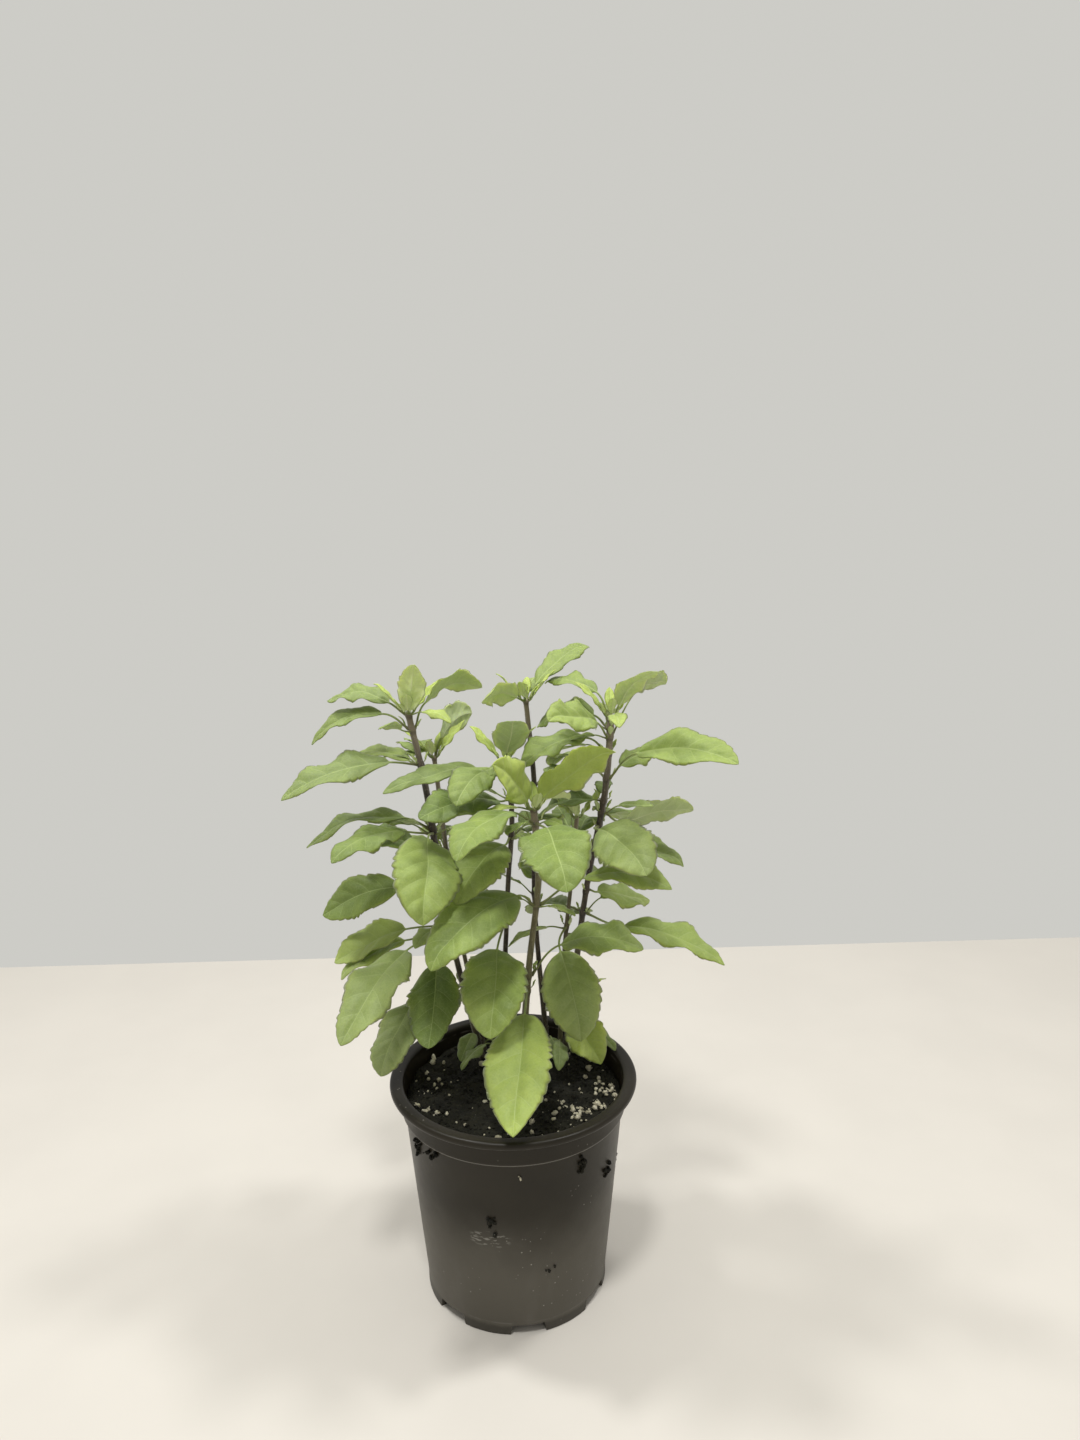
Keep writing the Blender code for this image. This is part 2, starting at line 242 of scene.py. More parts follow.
def makeStage(plan):
    wide, front, back, thick = plan["width"] / 2, plan["front"], plan["back"], plan["thickness"]
    corners = [(x * mm, y * mm, z * mm) for z in (-thick, 0.0) for y in (front, back) for x in (-wide, wide)]
    sides = [(0, 2, 3, 1), (4, 5, 7, 6), (0, 1, 5, 4), (2, 6, 7, 3), (0, 4, 6, 2), (1, 3, 7, 5)]
    mesh = bpy.data.meshes.new("floorSlab")
    mesh.from_pydata(corners, [], sides)
    floor = bpy.data.objects.new("floorSlab", mesh)
    scene.collection.objects.link(floor)
    mesh.materials.append(floorFinish(plan["floorColour"]))

    makeWorld(plan)
    for number, (place, size, watts) in enumerate(plan["lamps"], start=1):
        data = bpy.data.lights.new(f"softLamp{number}", "AREA")
        data.shape = "DISK"
        data.size = size * mm
        data.energy = watts
        lamp = bpy.data.objects.new(data.name, data)
        lamp.location = [value * mm for value in place]
        aim = Vector((0.0, 0.0, 0.15)) - lamp.location
        lamp.rotation_euler = aim.to_track_quat("-Z", "Y").to_euler()
        scene.collection.objects.link(lamp)


makeStage(stagePlan)
print("floor and lamps set")


def tubeFaces(rings, sides, start=0):
    # quads between neighbouring rings of a closed tube, then a fan at each end about a pole vertex
    ring, side = np.meshgrid(np.arange(rings - 1), np.arange(sides), indexing="ij")
    near = start + ring * sides + side
    far = start + ring * sides + (side + 1) % sides
    quads = np.stack([near, far, far + sides, near + sides], axis=-1).reshape(-1, 4)
    around = np.arange(sides)
    after = (around + 1) % sides
    firstPole, lastPole = start + rings * sides, start + rings * sides + 1
    lastRing = start + (rings - 1) * sides
    opening = np.stack([after + start, around + start, np.full(sides, firstPole)], axis=-1)
    closing = np.stack([lastRing + around, lastRing + after, np.full(sides, lastPole)], axis=-1)
    return quads.tolist() + opening.tolist() + closing.tolist()


def withPoles(grid):
    # the grid's points in one list, then the middle of its first and of its last ring
    return np.concatenate([grid.reshape(-1, grid.shape[-1]), grid[:1].mean(1), grid[-1:].mean(1)])


def makePiece(name, points, faces, material, node=None, attributes=None, smooth=True):
    mesh = bpy.data.meshes.new(name)
    mesh.from_pydata((points * mm).tolist(), [], faces)
    for key, values in (attributes or {}).items():
        layer = mesh.attributes.new(key, "FLOAT_VECTOR", "POINT")
        layer.data.foreach_set("vector", np.asarray(values, np.float32).ravel())
    if smooth:
        mesh.shade_smooth()
    mesh.materials.append(material)
    mesh.update()
    piece = bpy.data.objects.new(name, mesh)
    scene.collection.objects.link(piece)
    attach(piece, "root")
    if node:
        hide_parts(node)
    return piece


def polar(radius, angle, height):
    # x = r cos a and y = r sin a, with the height beside them
    x, y = radius * np.cos(angle), radius * np.sin(angle)
    return np.stack(np.broadcast_arrays(x, y, height), axis=-1)


def smoothRise(value, low, high):
    # 0 below low, 1 above high, and 3s^2 - 2s^3 between
    share = np.clip((value - low) / (high - low), 0.0, 1.0)
    return share * share * (3 - 2 * share)


soilPlan = {
    "top": 138.0,
    "plantingDepth": 18.0,
    "rings": 110,
    "sides": 260,
    "clods": 1500,
    "perlite": 185,
    "clusters": [  # heading, distance from the middle, how many grains, spread
        (-8, 63, 26, 6.0),
        (-22, 61, 16, 6.0),
        (-38, 53, 22, 7.0),
        (-52, 47, 8, 8.0),
        (8, 58, 10, 7.0),
        (-105, 55, 6, 9.0),
        (-160, 57, 10, 8.0),
        (172, 52, 12, 7.0),
        (-90, 35, 6, 10.0),
        (60, 50, 8, 12.0),
        (110, 45, 10, 12.0),
    ],
    "clumps": 14,  # of crumbs that cling to the outside of the pot
    "clumpGrains": (3, 20),
    "clumpSpread": (1.6, 2.8),
    "clumpHeight": (8.0, 140.0),
    "clingingPerlite": [(3.0, 121.0, 2.3), (2.0, 122.6, 1.5)],  # on the front: across, height, size
}

# Each stem: the points that it passes through, from the soil up, its radius at foot and tip, and its leaves
# from the top down.
# A leaf: height of its node, heading, lift, stalk, turn, rise, droop, length, width, roll,
# then its tone (0 old and dark, 1 young and yellow), how grey it is, and "over" if its top faces outwards.
planting = {
    "left": {
        "route": [(-23, 42, 142), (-44, 33, 253), (-55, 24, 352), (-63, 20, 395)],
        "radii": (2.3, 1.9),
        "leaves": [
            (394, -70, 55, 2, 0, 80, 25, 36, 18, -25, 0.95, 0.2),
            (393, 160, 40, 12, 0, 25, 55, 48, 20, -20, 0.38, 0.4),
            (383, 175, 50, 19, -5, 0, 45, 57, 22, -20, 0.42, 0.3),
            (383, 40, 80, 18, -5, 35, 60, 48, 22, -45, 0.65, 0.4),
            (359, 150, 5, 6, 0, 25, 55, 48, 22, -10, 0.62, 0.35),
            (359, -160, 15, 17, -5, 5, 40, 74, 28, -20, 0.32, 0.45),
            (314, 175, 35, 17, 0, 5, 45, 72, 28, -5, 0.35, 0.2),
            (311, -140, 15, 20, 0, 20, 50, 60, 26, -10, 0.35, 0.1),
            (311, -95, 20, 23, 5, -10, 45, 68, 44, -20, 0.60, 0.1),
            (302, 155, -20, 13, 5, 15, 30, 47, 26, -20, 0.25, 0.1),
            (267, 175, 15, 26, 0, -5, 35, 59, 30, -45, 0.35, 0.1),
            (242, -180, 0, 26, 0, -10, 30, 55, 28, -25, 0.78, 0.35),
            (239, -160, -15, 31, 40, -5, 35, 85, 36, -5, 0.55, 0.6),
            (196, -170, 0, 36, 55, -15, 35, 57, 32, 0, 0.45, 0.9),
        ],
    },
    "left_inner": {
        "route": [(-21, 54, 140), (-40, 49, 262), (-47, 45, 339), (-49, 44, 360)],
        "radii": (1.7, 1.4),
        "leaves": [
            (359, 55, 80, 13, 5, 30, 30, 42, 26, -85, 0.45, 0.6),
            (291, 110, 35, 10, 0, 15, 45, 36, 22, 0, 0.40, 0.1),
            (235, -160, -10, 36, 0, 0, 45, 52, 26, -5, 0.75, 0.4),
            (232, -140, -40, 28, 45, -20, 30, 63, 36, 10, 0.25, 0.0),
        ],
    },
    "centre_left": {
        "route": [(-9, 36, 139), (-1, 22, 274), (2, 15, 337), (-2, 12, 364)],
        "radii": (2.0, 1.5),
        "leaves": [
            (362, -80, 40, 12, 0, 60, 30, 38, 24, -5, 0.35, 0.1),
            (355, -125, 40, 14, 0, 0, 40, 43, 27, -15, 0.42, 0.15),
            (352, -170, 30, 18, 0, 10, 45, 63, 22, -15, 0.30, 0.3),
            (337, -145, -15, 6, 0, 20, 40, 63, 30, -20, 0.25, 0.0),
            (310, -125, -60, 6, 0, 5, 60, 61, 36, -15, 0.58, 0.0),
            (249, -110, -30, 24, 15, -15, 35, 67, 42, -5, 0.53, 0.0),
        ],
    },
    "centre": {
        "route": [(25, 46, 138), (17, 39, 262), (18, 34, 340), (13, 30, 400)],
        "radii": (1.9, 1.5),
        "leaves": [
            (399, 30, 65, 11, 5, 50, 45, 51, 22, 10, 0.50, 0.2),
            (399, -130, 25, 7, 0, 25, 40, 37, 20, 55, 0.90, 0.5),
            (262, 85, 30, 12, 5, 15, 45, 42, 24, 0, 0.35, 0.1),
        ],
    },
    "front": {
        "route": [(5, 22, 135), (12, 10, 222), (19, -2, 301), (16, -8, 337)],
        "radii": (2.4, 2.0),
        "leaves": [
            (337, -25, 75, 7, 0, 55, 35, 61, 30, -45, 1.00, 0.1, "over"),
            (337, -130, 65, 6, 0, 65, 45, 47, 26, -85, 1.00, 0.1),
            (327, -130, 40, 24, 5, 15, 50, 64, 34, 5, 0.46, 0.0),
            (327, -75, 10, 24, -5, 10, 60, 61, 42, 10, 0.40, 0.0),
            (268, -135, 55, 19, 0, 5, 45, 82, 42, -15, 0.50, 0.0),
            (268, -15, 45, 35, -5, 20, 40, 61, 28, 15, 0.70, 0.15),
            (215, -15, 65, 31, -5, 25, 40, 59, 30, 20, 0.50, 0.2),
            (203, -95, -10, 23, 0, -5, 40, 90, 42, 5, 0.75, 0.0),
        ],
    },
    "right": {
        "route": [(38, 50, 137), (53, 31, 272), (65, 19, 348), (67, 12, 392)],
        "radii": (2.3, 1.9),
        "leaves": [
            (390, 140, 80, 17, 5, 35, 60, 42, 18, -15, 0.52, 0.2),
            (390, -40, 80, 9, -10, 55, 35, 43, 18, -20, 0.75, 0.2),
            (383, 150, 55, 11, 0, 15, 60, 47, 24, -30, 0.45, 0.15),
            (377, 40, 60, 36, 5, 25, 45, 31, 18, -55, 0.60, 0.2),
            (377, -135, 60, 14, -5, 35, 45, 45, 26, -40, 0.58, 0.1),
            (366, -165, 60, 17, 0, 5, 50, 49, 26, -15, 0.52, 0.25),
            (348, -35, 60, 27, 0, 20, 35, 72, 30, 30, 0.55, 0.1),
            (332, 155, 5, 4, 0, -5, 35, 45, 22, -15, 0.20, 0.1),
            (324, 15, -55, 16, -5, 15, 20, 50, 24, -60, 0.50, 0.5),
            (314, -110, 15, 24, 50, 10, 55, 54, 38, 25, 0.52, 0.5),
            (296, 10, 40, 8, -5, 0, 35, 57, 24, 20, 0.45, 0.3),
            (266, 25, -40, 6, 0, -5, 30, 47, 24, 25, 0.70, 0.4),
            (249, -20, -25, 26, 0, 5, 40, 74, 28, 10, 0.62, 0.1),
        ],
    },
    "right_inner": {
        "route": [(33, 40, 137), (39, 41, 236), (42, 41, 263), (47, 42, 316)],
        "radii": (1.7, 1.4),
        "leaves": [
            (296, 70, 35, 10, 0, 20, 50, 42, 24, 0, 0.35, 0.1),
            (236, -115, -10, 24, 40, -30, 40, 63, 39, 15, 0.64, 0.5),
            (180, -50, -55, 10, -5, -20, 30, 40, 28, 25, 0.92, 0.0),
        ],
    },
}

stemPlan = {
    "clearance": 0.3,
    "cadSides": 8,  # the CAD's stem is a prism, and leaves start outside its corners
    "sides": 20,
    "ringsPerMillimetre": 0.9,
    "squareness": 0.10,  # the stem is nearly square in section, with rounded corners
    "nodeSwelling": 0.55,  # extra radius at each joint
    "nodeSpread": 2.2,
    "hairsPerMillimetre": 3.2,
    "hairLength": 1.3,
    "hairWidth": 0.09,
}


def smoothRoute(points, count=90):
    # cubic Hermite pieces through the points, with slopes shared between neighbours
    points = np.array(points, float)
    along = np.concatenate([[0.0], np.cumsum(np.linalg.norm(np.diff(points, axis=0), axis=1))])
    slopes = np.gradient(points, along, axis=0)
    place = np.linspace(0.0, along[-1], count)
    i = np.clip(np.searchsorted(along, place, side="right") - 1, 0, len(points) - 2)
    span = (along[i + 1] - along[i])[:, None]
    u = (place - along[i])[:, None] / span
    return ((2 * u**3 - 3 * u**2 + 1) * points[i] + (u**3 - 2 * u**2 + u) * span * slopes[i]
            + (3 * u**2 - 2 * u**3) * points[i + 1] + (u**3 - u**2) * span * slopes[i + 1])


def stemRoute(points):
    # the centre line, carried straight down from its first point into the soil
    first, second = np.array(points[0], float), np.array(points[1], float)
    down = (first - second) / (first - second)[2]
    planted = first + down * (soilPlan["top"] - soilPlan["plantingDepth"] - first[2])
    return smoothRoute([planted] + list(points))


def atHeight(route, height):
    return np.stack([np.interp(height, route[:, 2], route[:, axis]) for axis in range(3)], axis=-1)


def stemRadius(name, height):
    # thins evenly from foot to tip
    foot, tip = planting[name]["radii"]
    low, high = routes[name][0, 2], routes[name][-1, 2]
    return foot + (height - low) / (high - low) * (tip - foot)


routes = {name: stemRoute(plan["route"]) for name, plan in planting.items()}


leafPlan = {
    "stalkHalf": 0.75,
    "bladeHalf": 0.22,
    "outlineSkew": 0.98,
    "toothSpacing": 5.5,
    "toothDepth": 0.084,  # share of the half width
    "veins": 5.5,
    "veinLean": 0.85,  # how far a side vein runs forward for each step outwards
    "quilting": 0.038,  # rise between the veins, share of the width
    "edgeWave": 0.17,
    "midribCrowding": 1.6,  # more points near the midrib
    "fold": (0.16, 0.38),  # rise from the midrib to the edge, share of the half width
    "arch": (0.12, 0.26),  # how far that rise falls back towards the edge
}


def leafSurface(node, stemSize, row, seed):
    # A ring carried along the stalk and the midrib. The stalk's direction turns into the blade's with the
    # square of its length, and the blade's rise falls evenly by its droop. Across the blade, height is
    # a fold |v| less an arch v^2, plus a bulge between side veins and a ripple that grows towards the edge.
    heading, lift, stalk, turn, rise, droop, length, width, roll, tone, grey = row[1:12]
    rng = np.random.default_rng(seed)
    stalkSteps, bladeSteps = int(np.clip(stalk, 6, 14)), int(np.clip(1.5 * length, 18, 100))
    early = (np.arange(stalkSteps) + 0.5) / stalkSteps
    late = (np.arange(bladeSteps) + 0.5) / bladeSteps
    sway = rng.uniform(-7, 7) * np.sin(2 * math.pi * late) + rng.uniform(-4, 4) * np.sin(math.pi * late)
    nod = rng.uniform(-8, 8) * np.sin(2 * math.pi * late) - rng.uniform(-15, 30) * smoothRise(late, 0.78, 1.0)
    yaw = np.radians(np.concatenate([heading + turn * early**2, heading + turn + sway]))
    pitch = np.radians(np.concatenate([lift + (rise - lift) * early**2, rise - droop * late + nod]))
    step = np.concatenate([np.full(stalkSteps, stalk / stalkSteps), np.full(bladeSteps, length / bladeSteps)])
    forward = np.stack([np.cos(pitch) * np.cos(yaw), np.cos(pitch) * np.sin(yaw), np.sin(pitch)], axis=1)
    out = math.radians(heading)
    corner = stemSize / math.cos(math.pi / stemPlan["cadSides"])
    reach = corner + stemPlan["clearance"] + 0.2 + leafPlan["stalkHalf"] * abs(math.sin(math.radians(lift)))
    outwards = polar(1.0, out, 0.0)
    start = node + reach * outwards
    line = start + np.concatenate([np.zeros((1, 3)), np.cumsum(forward * step[:, None], axis=0)])
    forward = np.concatenate([forward, forward[-1:]])
    yaw = np.append(yaw, yaw[-1])

    stations = np.arange(stalkSteps + bladeSteps + 1)
    u = np.clip((stations - stalkSteps) / bladeSteps, 0.0, 1.0)[:, None]
    stalkShare = np.clip(stations / stalkSteps, 0.0, 1.0)[:, None]
    side = np.stack([-np.sin(yaw), np.cos(yaw), 0 * yaw], axis=1)
    normal = np.cross(forward, side)
    twist = rng.uniform(-14, 14)
    tilt = np.radians(roll + twist * (u[:, 0] - 0.5))[:, None]
    across = np.cos(tilt) * side + np.sin(tilt) * normal
    above = np.cos(tilt) * normal - np.sin(tilt) * side

    half = 20 if length > 34 else 12 if length > 15 else 7  # points across one face of the blade
    t = np.arange(2 * half) / (2 * half)
    s = np.where(t < 0.5, 1 - 4 * t, 4 * t - 3)
    v = (np.sign(s) * np.abs(s) ** leafPlan["midribCrowding"])[None, :]
    face = np.where((t > 0) & (t < 0.5), 1.0, np.where(t > 0.5, -1.0, 0.0))[None, :]

    # outline: a sine raised to a power that is a little higher at the tip of a young leaf, which sharpens it,
    # scalloped past its first fifth: each tooth swells forwards and ends in a notch
    young = tone * (1 - 0.6 * grey)
    tipPower = 0.51 + 0.26 * young + rng.uniform(-0.03, 0.07)
    power = 0.62 + (tipPower - 0.62) * smoothRise(u, 0.2, 0.9)
    outline = np.maximum(np.sin(math.pi * u ** leafPlan["outlineSkew"]), 0.0) ** power
    teeth = max(4, round(length / leafPlan["toothSpacing"]))
    phase = teeth * (u + 0.02 * np.sin(9.0 * u + rng.uniform(0, 6))) + rng.uniform(0, 1) + 0.35 * np.sign(v)
    depths = rng.uniform(0.1, 1.7, (2, teeth + 4))
    which = np.clip(np.floor(phase).astype(int) + 1, 0, teeth + 3)
    depth = np.where(v > 0, depths[0][which], depths[1][which])
    saw = phase - np.floor(phase)
    tooth = np.where(saw < 0.86, np.sin(0.5 * math.pi * saw / 0.86), (1 - saw) / 0.14) - 0.6
    toothZone = smoothRise(u, 0.15, 0.38) * (1 - smoothRise(u, 0.95, 1.0))
    lopsided = 1 + rng.uniform(-0.06, 0.06) * np.sign(v)
    scallop = 1 + leafPlan["toothDepth"] * depth * tooth * toothZone * np.abs(v) ** 3
    edge = np.maximum(width / 2 * outline * lopsided * scallop, 0.25)

    # across the blade
    reachOut = v * edge
    lean = leafPlan["veinLean"] * width / 2 / length
    veinPhase = (u - lean * np.abs(v) ** 1.25 * outline) * leafPlan["veins"] + 0.08 * np.sign(v)
    bulge = np.abs(np.sin(math.pi * veinPhase)) ** 0.8 * (1 - v**4) * smoothRise(np.abs(v), 0.0, 0.3)
    bodied = np.sin(math.pi * np.clip(u, 0.02, 0.98)) ** 0.5
    fold, arch = rng.uniform(*leafPlan["fold"]), rng.uniform(*leafPlan["arch"])
    foldUp = fold * np.sqrt(v**2 + 0.0015) - arch * v**2
    ripple = leafPlan["edgeWave"] * rng.uniform(0.5, 1.6)

    def wave(low, high):
        return np.sin(2 * math.pi * (rng.uniform(low, high) * u + rng.uniform(0, 1)))

    leftWave, rightWave = wave(1.5, 2.8), wave(1.5, 2.8)
    waves = np.where(v > 0, leftWave, rightWave)
    swell = 0.022 * wave(1.0, 1.8) * np.cos(2.4 * v + rng.uniform(-1, 1))
    height = (edge * foldUp + leafPlan["quilting"] * width * bulge * bodied + width * swell * bodied
              + ripple * edge * np.abs(v) ** 2.2 * waves * bodied)
    ridge = (0.75 * (1 - u) ** 1.2 + 0.10) * np.exp(-(reachOut / 0.8) ** 2) * (u > 0)
    skin = leafPlan["bladeHalf"] * face * (1 - v**4)
    bladeUp = height + skin - np.where(face < 0, ridge, 0.25 * ridge)

    # round stalk, a little flattened, turning into the blade's section
    angle = 2 * math.pi * t[None, :]
    slim = min(1.0, 0.45 + length / 90)
    stalkSize = slim * leafPlan["stalkHalf"] * (1.12 - 0.22 * stalkShare)
    stalkSize = stalkSize * (1 + 0.45 * (1 - smoothRise(stalkShare, 0.0, 0.18)))
    become = smoothRise(u, 0.0, 0.05)
    sideways = (1 - become) * stalkSize * np.cos(angle) + become * reachOut
    upwards = (1 - become) * stalkSize * 0.9 * np.sin(angle) + become * bladeUp
    grid = line[:, None, :] + sideways[..., None] * across[:, None, :]
    grid = grid + upwards[..., None] * above[:, None, :]
    # the stalk's foot is sunk into the bark
    sink = (1 - smoothRise(stalkShare, 0.0, 0.25)) * (stemPlan["clearance"] + 0.75)
    grid = grid - sink[..., None] * outwards

    topShare = 0.5 - 0.5 * face if "over" in row else 0.5 + 0.5 * face
    place = np.stack(np.broadcast_arrays(u + stalkShare - 1, v, topShare), axis=-1)
    veins = np.stack(np.broadcast_arrays(reachOut, veinPhase, edge * (1 - np.abs(v))), axis=-1)
    look = np.broadcast_to(np.array([tone, grey, 0.0]), place.shape)
    return grid, {"leafPlace": place, "leafVeins": veins, "leafLook": look}


def leafFinish():
    finish = Finish("leafBlade", 0.55, Sheen_Weight=0.12, Sheen_Roughness=0.4, Specular_IOR_Level=0.35,
                    Subsurface_Weight=0.3, Subsurface_Radius=(0.9, 1.0, 0.35), Subsurface_Scale=0.0012)
    along, across, upper = finish.attribute("leafPlace")
    fromMidrib, veinPhase, fromEdge = finish.attribute("leafVeins")
    tone, grey = finish.attribute("leafLook")[:2]
    patches = finish.noise(60.0, 4.0)
    speckle = finish.noise(700.0, 2.0)
    age = (tone + (patches - 0.5) * 0.60 + along * 0.10 - 0.05).clamped()

    dark, mid = (0.098, 0.146, 0.032), (0.180, 0.244, 0.054)
    bright, young = (0.285, 0.362, 0.084), (0.42, 0.505, 0.112)
    colour = finish.mix(age.stepped(0.05, 0.45), dark, mid)
    colour = finish.mix(age.stepped(0.35, 0.75), colour, bright)
    colour = finish.mix(age.stepped(0.65, 1.05), colour, young)
    colour = finish.mix(grey * 0.7, colour, (0.30, 0.35, 0.155))
    colour = finish.mix(speckle.stepped(0.35, 0.75) * 0.12, colour, (0.06, 0.12, 0.02))

    # fine net, side veins and midrib: paler than the blade on top
    net = finish.cells(420.0, "DISTANCE_TO_EDGE")
    netLine = net.stepped(0.07, 0.0)
    sideLine = abs((veinPhase * math.pi).sine()).stepped(0.12, 0.02) * abs(across).stepped(1.0, 0.55)
    ribWidth = 0.55 - along * 0.34
    ribLine = (abs(fromMidrib) / ribWidth).stepped(1.0, 0.35)
    paleVein = (0.42, 0.50, 0.20)
    top = finish.mix(netLine * 0.16, colour, paleVein)
    top = finish.mix(sideLine * 0.26, top, paleVein)
    top = finish.mix(ribLine * 0.50, top, paleVein)

    # underside: paler and greyer, with raised pale veins
    pale = finish.mix(age.stepped(0.4, 1.0), (0.47, 0.545, 0.29), (0.72, 0.81, 0.42))
    below = finish.mix(0.72, colour, pale)
    below = finish.mix(netLine * 0.16, below, (0.24, 0.32, 0.11))
    below = finish.mix(sideLine * 0.30, below, (0.68, 0.74, 0.42))
    below = finish.mix(ribLine * 0.50, below, (0.66, 0.68, 0.40))
    blade = finish.mix(upper.stepped(0.3, 0.6), below, top)
    blade = finish.mix(fromEdge.stepped(0.7, 0.1) * 0.25, blade, (0.16, 0.20, 0.06))

    # stalk: green, purple brown towards the stem on older leaves
    purple = (along.stepped(-0.25, -0.95) * (1.15 - tone)).clamped()
    stalk = finish.mix(purple * 0.85, (0.22, 0.27, 0.085), (0.085, 0.055, 0.035))
    colour = finish.mix(along.stepped(-0.03, 0.02), stalk, blade)

    rough = 0.50 + patches * 0.14 + (1.0 - upper) * 0.12
    height = finish.noise(1400.0, 2.0) * 0.35 + net.stepped(0.0, 0.22) * 0.5 + sideLine * -0.6
    return finish.finished(colour, rough, height, 0.35, 0.0003)


leafMaterial = leafFinish()


def makeLeaf(name, node, stemSize, row, seed, replaced=None):
    grid, attributes = leafSurface(node, stemSize, row, seed)
    faces = tubeFaces(*grid.shape[:2])
    carried = {key: withPoles(values) for key, values in attributes.items()}
    return makePiece(name, withPoles(grid), faces, leafMaterial, replaced, carried)


for stemNumber, (stemName, plan) in enumerate(planting.items()):
    for number, leaf in enumerate(plan["leaves"], start=1):
        nodeName = f"{stemName}_leaf_{number}"
        node, stemSize = atHeight(routes[stemName], leaf[0]), stemRadius(stemName, leaf[0])
        makeLeaf(nodeName + "_blade", node, stemSize, leaf, 100 * stemNumber + number, nodeName)
print("leaves grown:", sum(len(plan["leaves"]) for plan in planting.values()))

# Middling leaves at the back of the bush, in the same terms.
backLeaves = {
    "left": [
        (359, 100, 20, 12, 0, 15, 45, 48, 24, 0, 0.40, 0.2),
        (311, 60, 25, 18, 0, 10, 50, 50, 30, 10, 0.35, 0.1),
        (267, 85, 15, 20, 0, 0, 45, 42, 26, 0, 0.35, 0.2),
        (242, 45, 10, 24, 0, -5, 40, 40, 24, 10, 0.35, 0.3),
    ],
    "left_inner": [
        (262, 130, 10, 16, 0, 0, 45, 40, 24, 0, 0.35, 0.2),
        (200, 70, 0, 16, 0, -10, 40, 28, 18, 0, 0.35, 0.3),
    ],
    "centre_left": [
        (310, 60, 10, 14, 0, 10, 50, 50, 28, 0, 0.35, 0.1),
        (249, 120, 5, 20, 0, 0, 45, 40, 26, -25, 0.35, 0.2),
    ],
    "centre": [
        (340, 55, 25, 14, 0, 10, 50, 50, 26, 0, 0.40, 0.1),
        (340, 145, 20, 14, 0, 5, 45, 46, 24, 0, 0.35, 0.2),
        (300, 105, 10, 14, 0, 0, 45, 40, 26, 0, 0.30, 0.2),
    ],
    "right": [
        (348, 120, 25, 18, 0, 10, 45, 52, 28, 0, 0.40, 0.1),
        (314, 70, 15, 16, 0, 0, 45, 48, 30, 0, 0.35, 0.1),
        (249, 125, 0, 16, 0, -5, 40, 46, 28, 0, 0.35, 0.2),
        (222, 80, -5, 16, 0, -10, 40, 36, 24, 0, 0.35, 0.3),
    ],
    "right_inner": [
        (236, 75, 10, 16, 0, 0, 45, 38, 26, 0, 0.35, 0.2),
    ],
}

shootPlan = {
    "tipPairs": (23.0, 16.0, 9.0, 6.5, 4.5),  # length of each crossed pair of leaflets at a growing tip
    "sideShare": 0.85,  # of the large leaves that have a side shoot beside them
    "sideLength": (18.0, 32.0),
    "sideStalk": (7.0, 15.0),
    "bractLength": (4.0, 8.0),
    "sproutHeight": 9.0,  # the lowest leaf on each stem, over the soil
    "seed": 5,
}


def tipRows(top, rng):
    # crossed pairs, a quarter turn apart, that shorten and rise more steeply towards the middle of the bud
    rows = []
    for pair, length in enumerate(shootPlan["tipPairs"]):
        for half in (0, 180):
            size = length * rng.uniform(0.85, 1.15)
            heading = 90 * pair + half + rng.uniform(-20, 20)
            rise = 60 + 5 * pair
            rows.append((top - 1.6 + 0.3 * pair, heading, rise, 1.0 + 0.15 * length, 0, rise, 25,
                         size, 0.45 * size, rng.uniform(-15, 15), 0.92, 0.0))
    return rows


def sideRows(leaves, rng):
    # most large leaves have a small one just above their node, turned off to either side
    rows = []
    for leaf in leaves:
        if rng.uniform() > shootPlan["sideShare"]:
            continue
        size = rng.uniform(*shootPlan["sideLength"])
        heading = leaf[1] + rng.choice((-1, 1)) * rng.uniform(30, 75)
        rows.append((leaf[0] - 1.0, heading, rng.uniform(10, 50), rng.uniform(*shootPlan["sideStalk"]), 0,
                     rng.uniform(0, 35), 35, size, rng.uniform(0.42, 0.6) * size, rng.uniform(-30, 30),
                     leaf[10], leaf[11]))
    return rows


def bractRows(joints, rng):
    # two scales face each other at every joint but the top one
    rows = []
    for joint in joints[:-1]:
        first = rng.uniform(0, 360)
        for heading in (first, first + 180 + rng.uniform(-25, 25)):
            size = rng.uniform(*shootPlan["bractLength"])
            rows.append((joint + 1.5, heading, 70, 1.2, 0, rng.uniform(60, 82), 25, size, 0.5 * size,
                         rng.uniform(-15, 15), rng.uniform(0.5, 0.9), 0.2))
    return rows


def makeShoots(plan):
    rng = np.random.default_rng(plan["seed"])
    count = 0
    for name, route in routes.items():
        leaves = planting[name]["leaves"]
        sprout = (soilPlan["top"] + plan["sproutHeight"], rng.uniform(-150, -30), 60, 18, 0, 5, 45, 27, 13,
                  rng.uniform(-30, 30), 0.35, 0.4)
        kinds = {
            "back": backLeaves.get(name, []),
            "shoot": sideRows(leaves, rng) + [sprout],
            "bud": tipRows(route[-1, 2], rng),
            "bract": bractRows(sorted({leaf[0] for leaf in leaves}), rng),
        }
        for kind, rows in kinds.items():
            for number, row in enumerate(rows, start=1):
                node, stemSize = atHeight(route, row[0]), stemRadius(name, row[0])
                makeLeaf(f"{name}_{kind}_{number}", node, stemSize, row, int(rng.integers(1, 100000)))
                count += 1
    print("small leaves grown:", count)


makeShoots(shootPlan)


stemLooks = {  # how dark the bark is at the foot and at the top, then how far down the green tip reaches
    "left": (0.75, 1.0, 0.20),
    "left_inner": (0.8, 0.6, 0.30),
    "centre_left": (0.85, 0.95, 0.15),
    "centre": (0.85, 1.0, 0.15),
    "front": (0.15, 0.30, 0.15),
    "right": (0.45, 1.0, 0.30),
    "right_inner": (0.4, 0.5, 0.40),
}


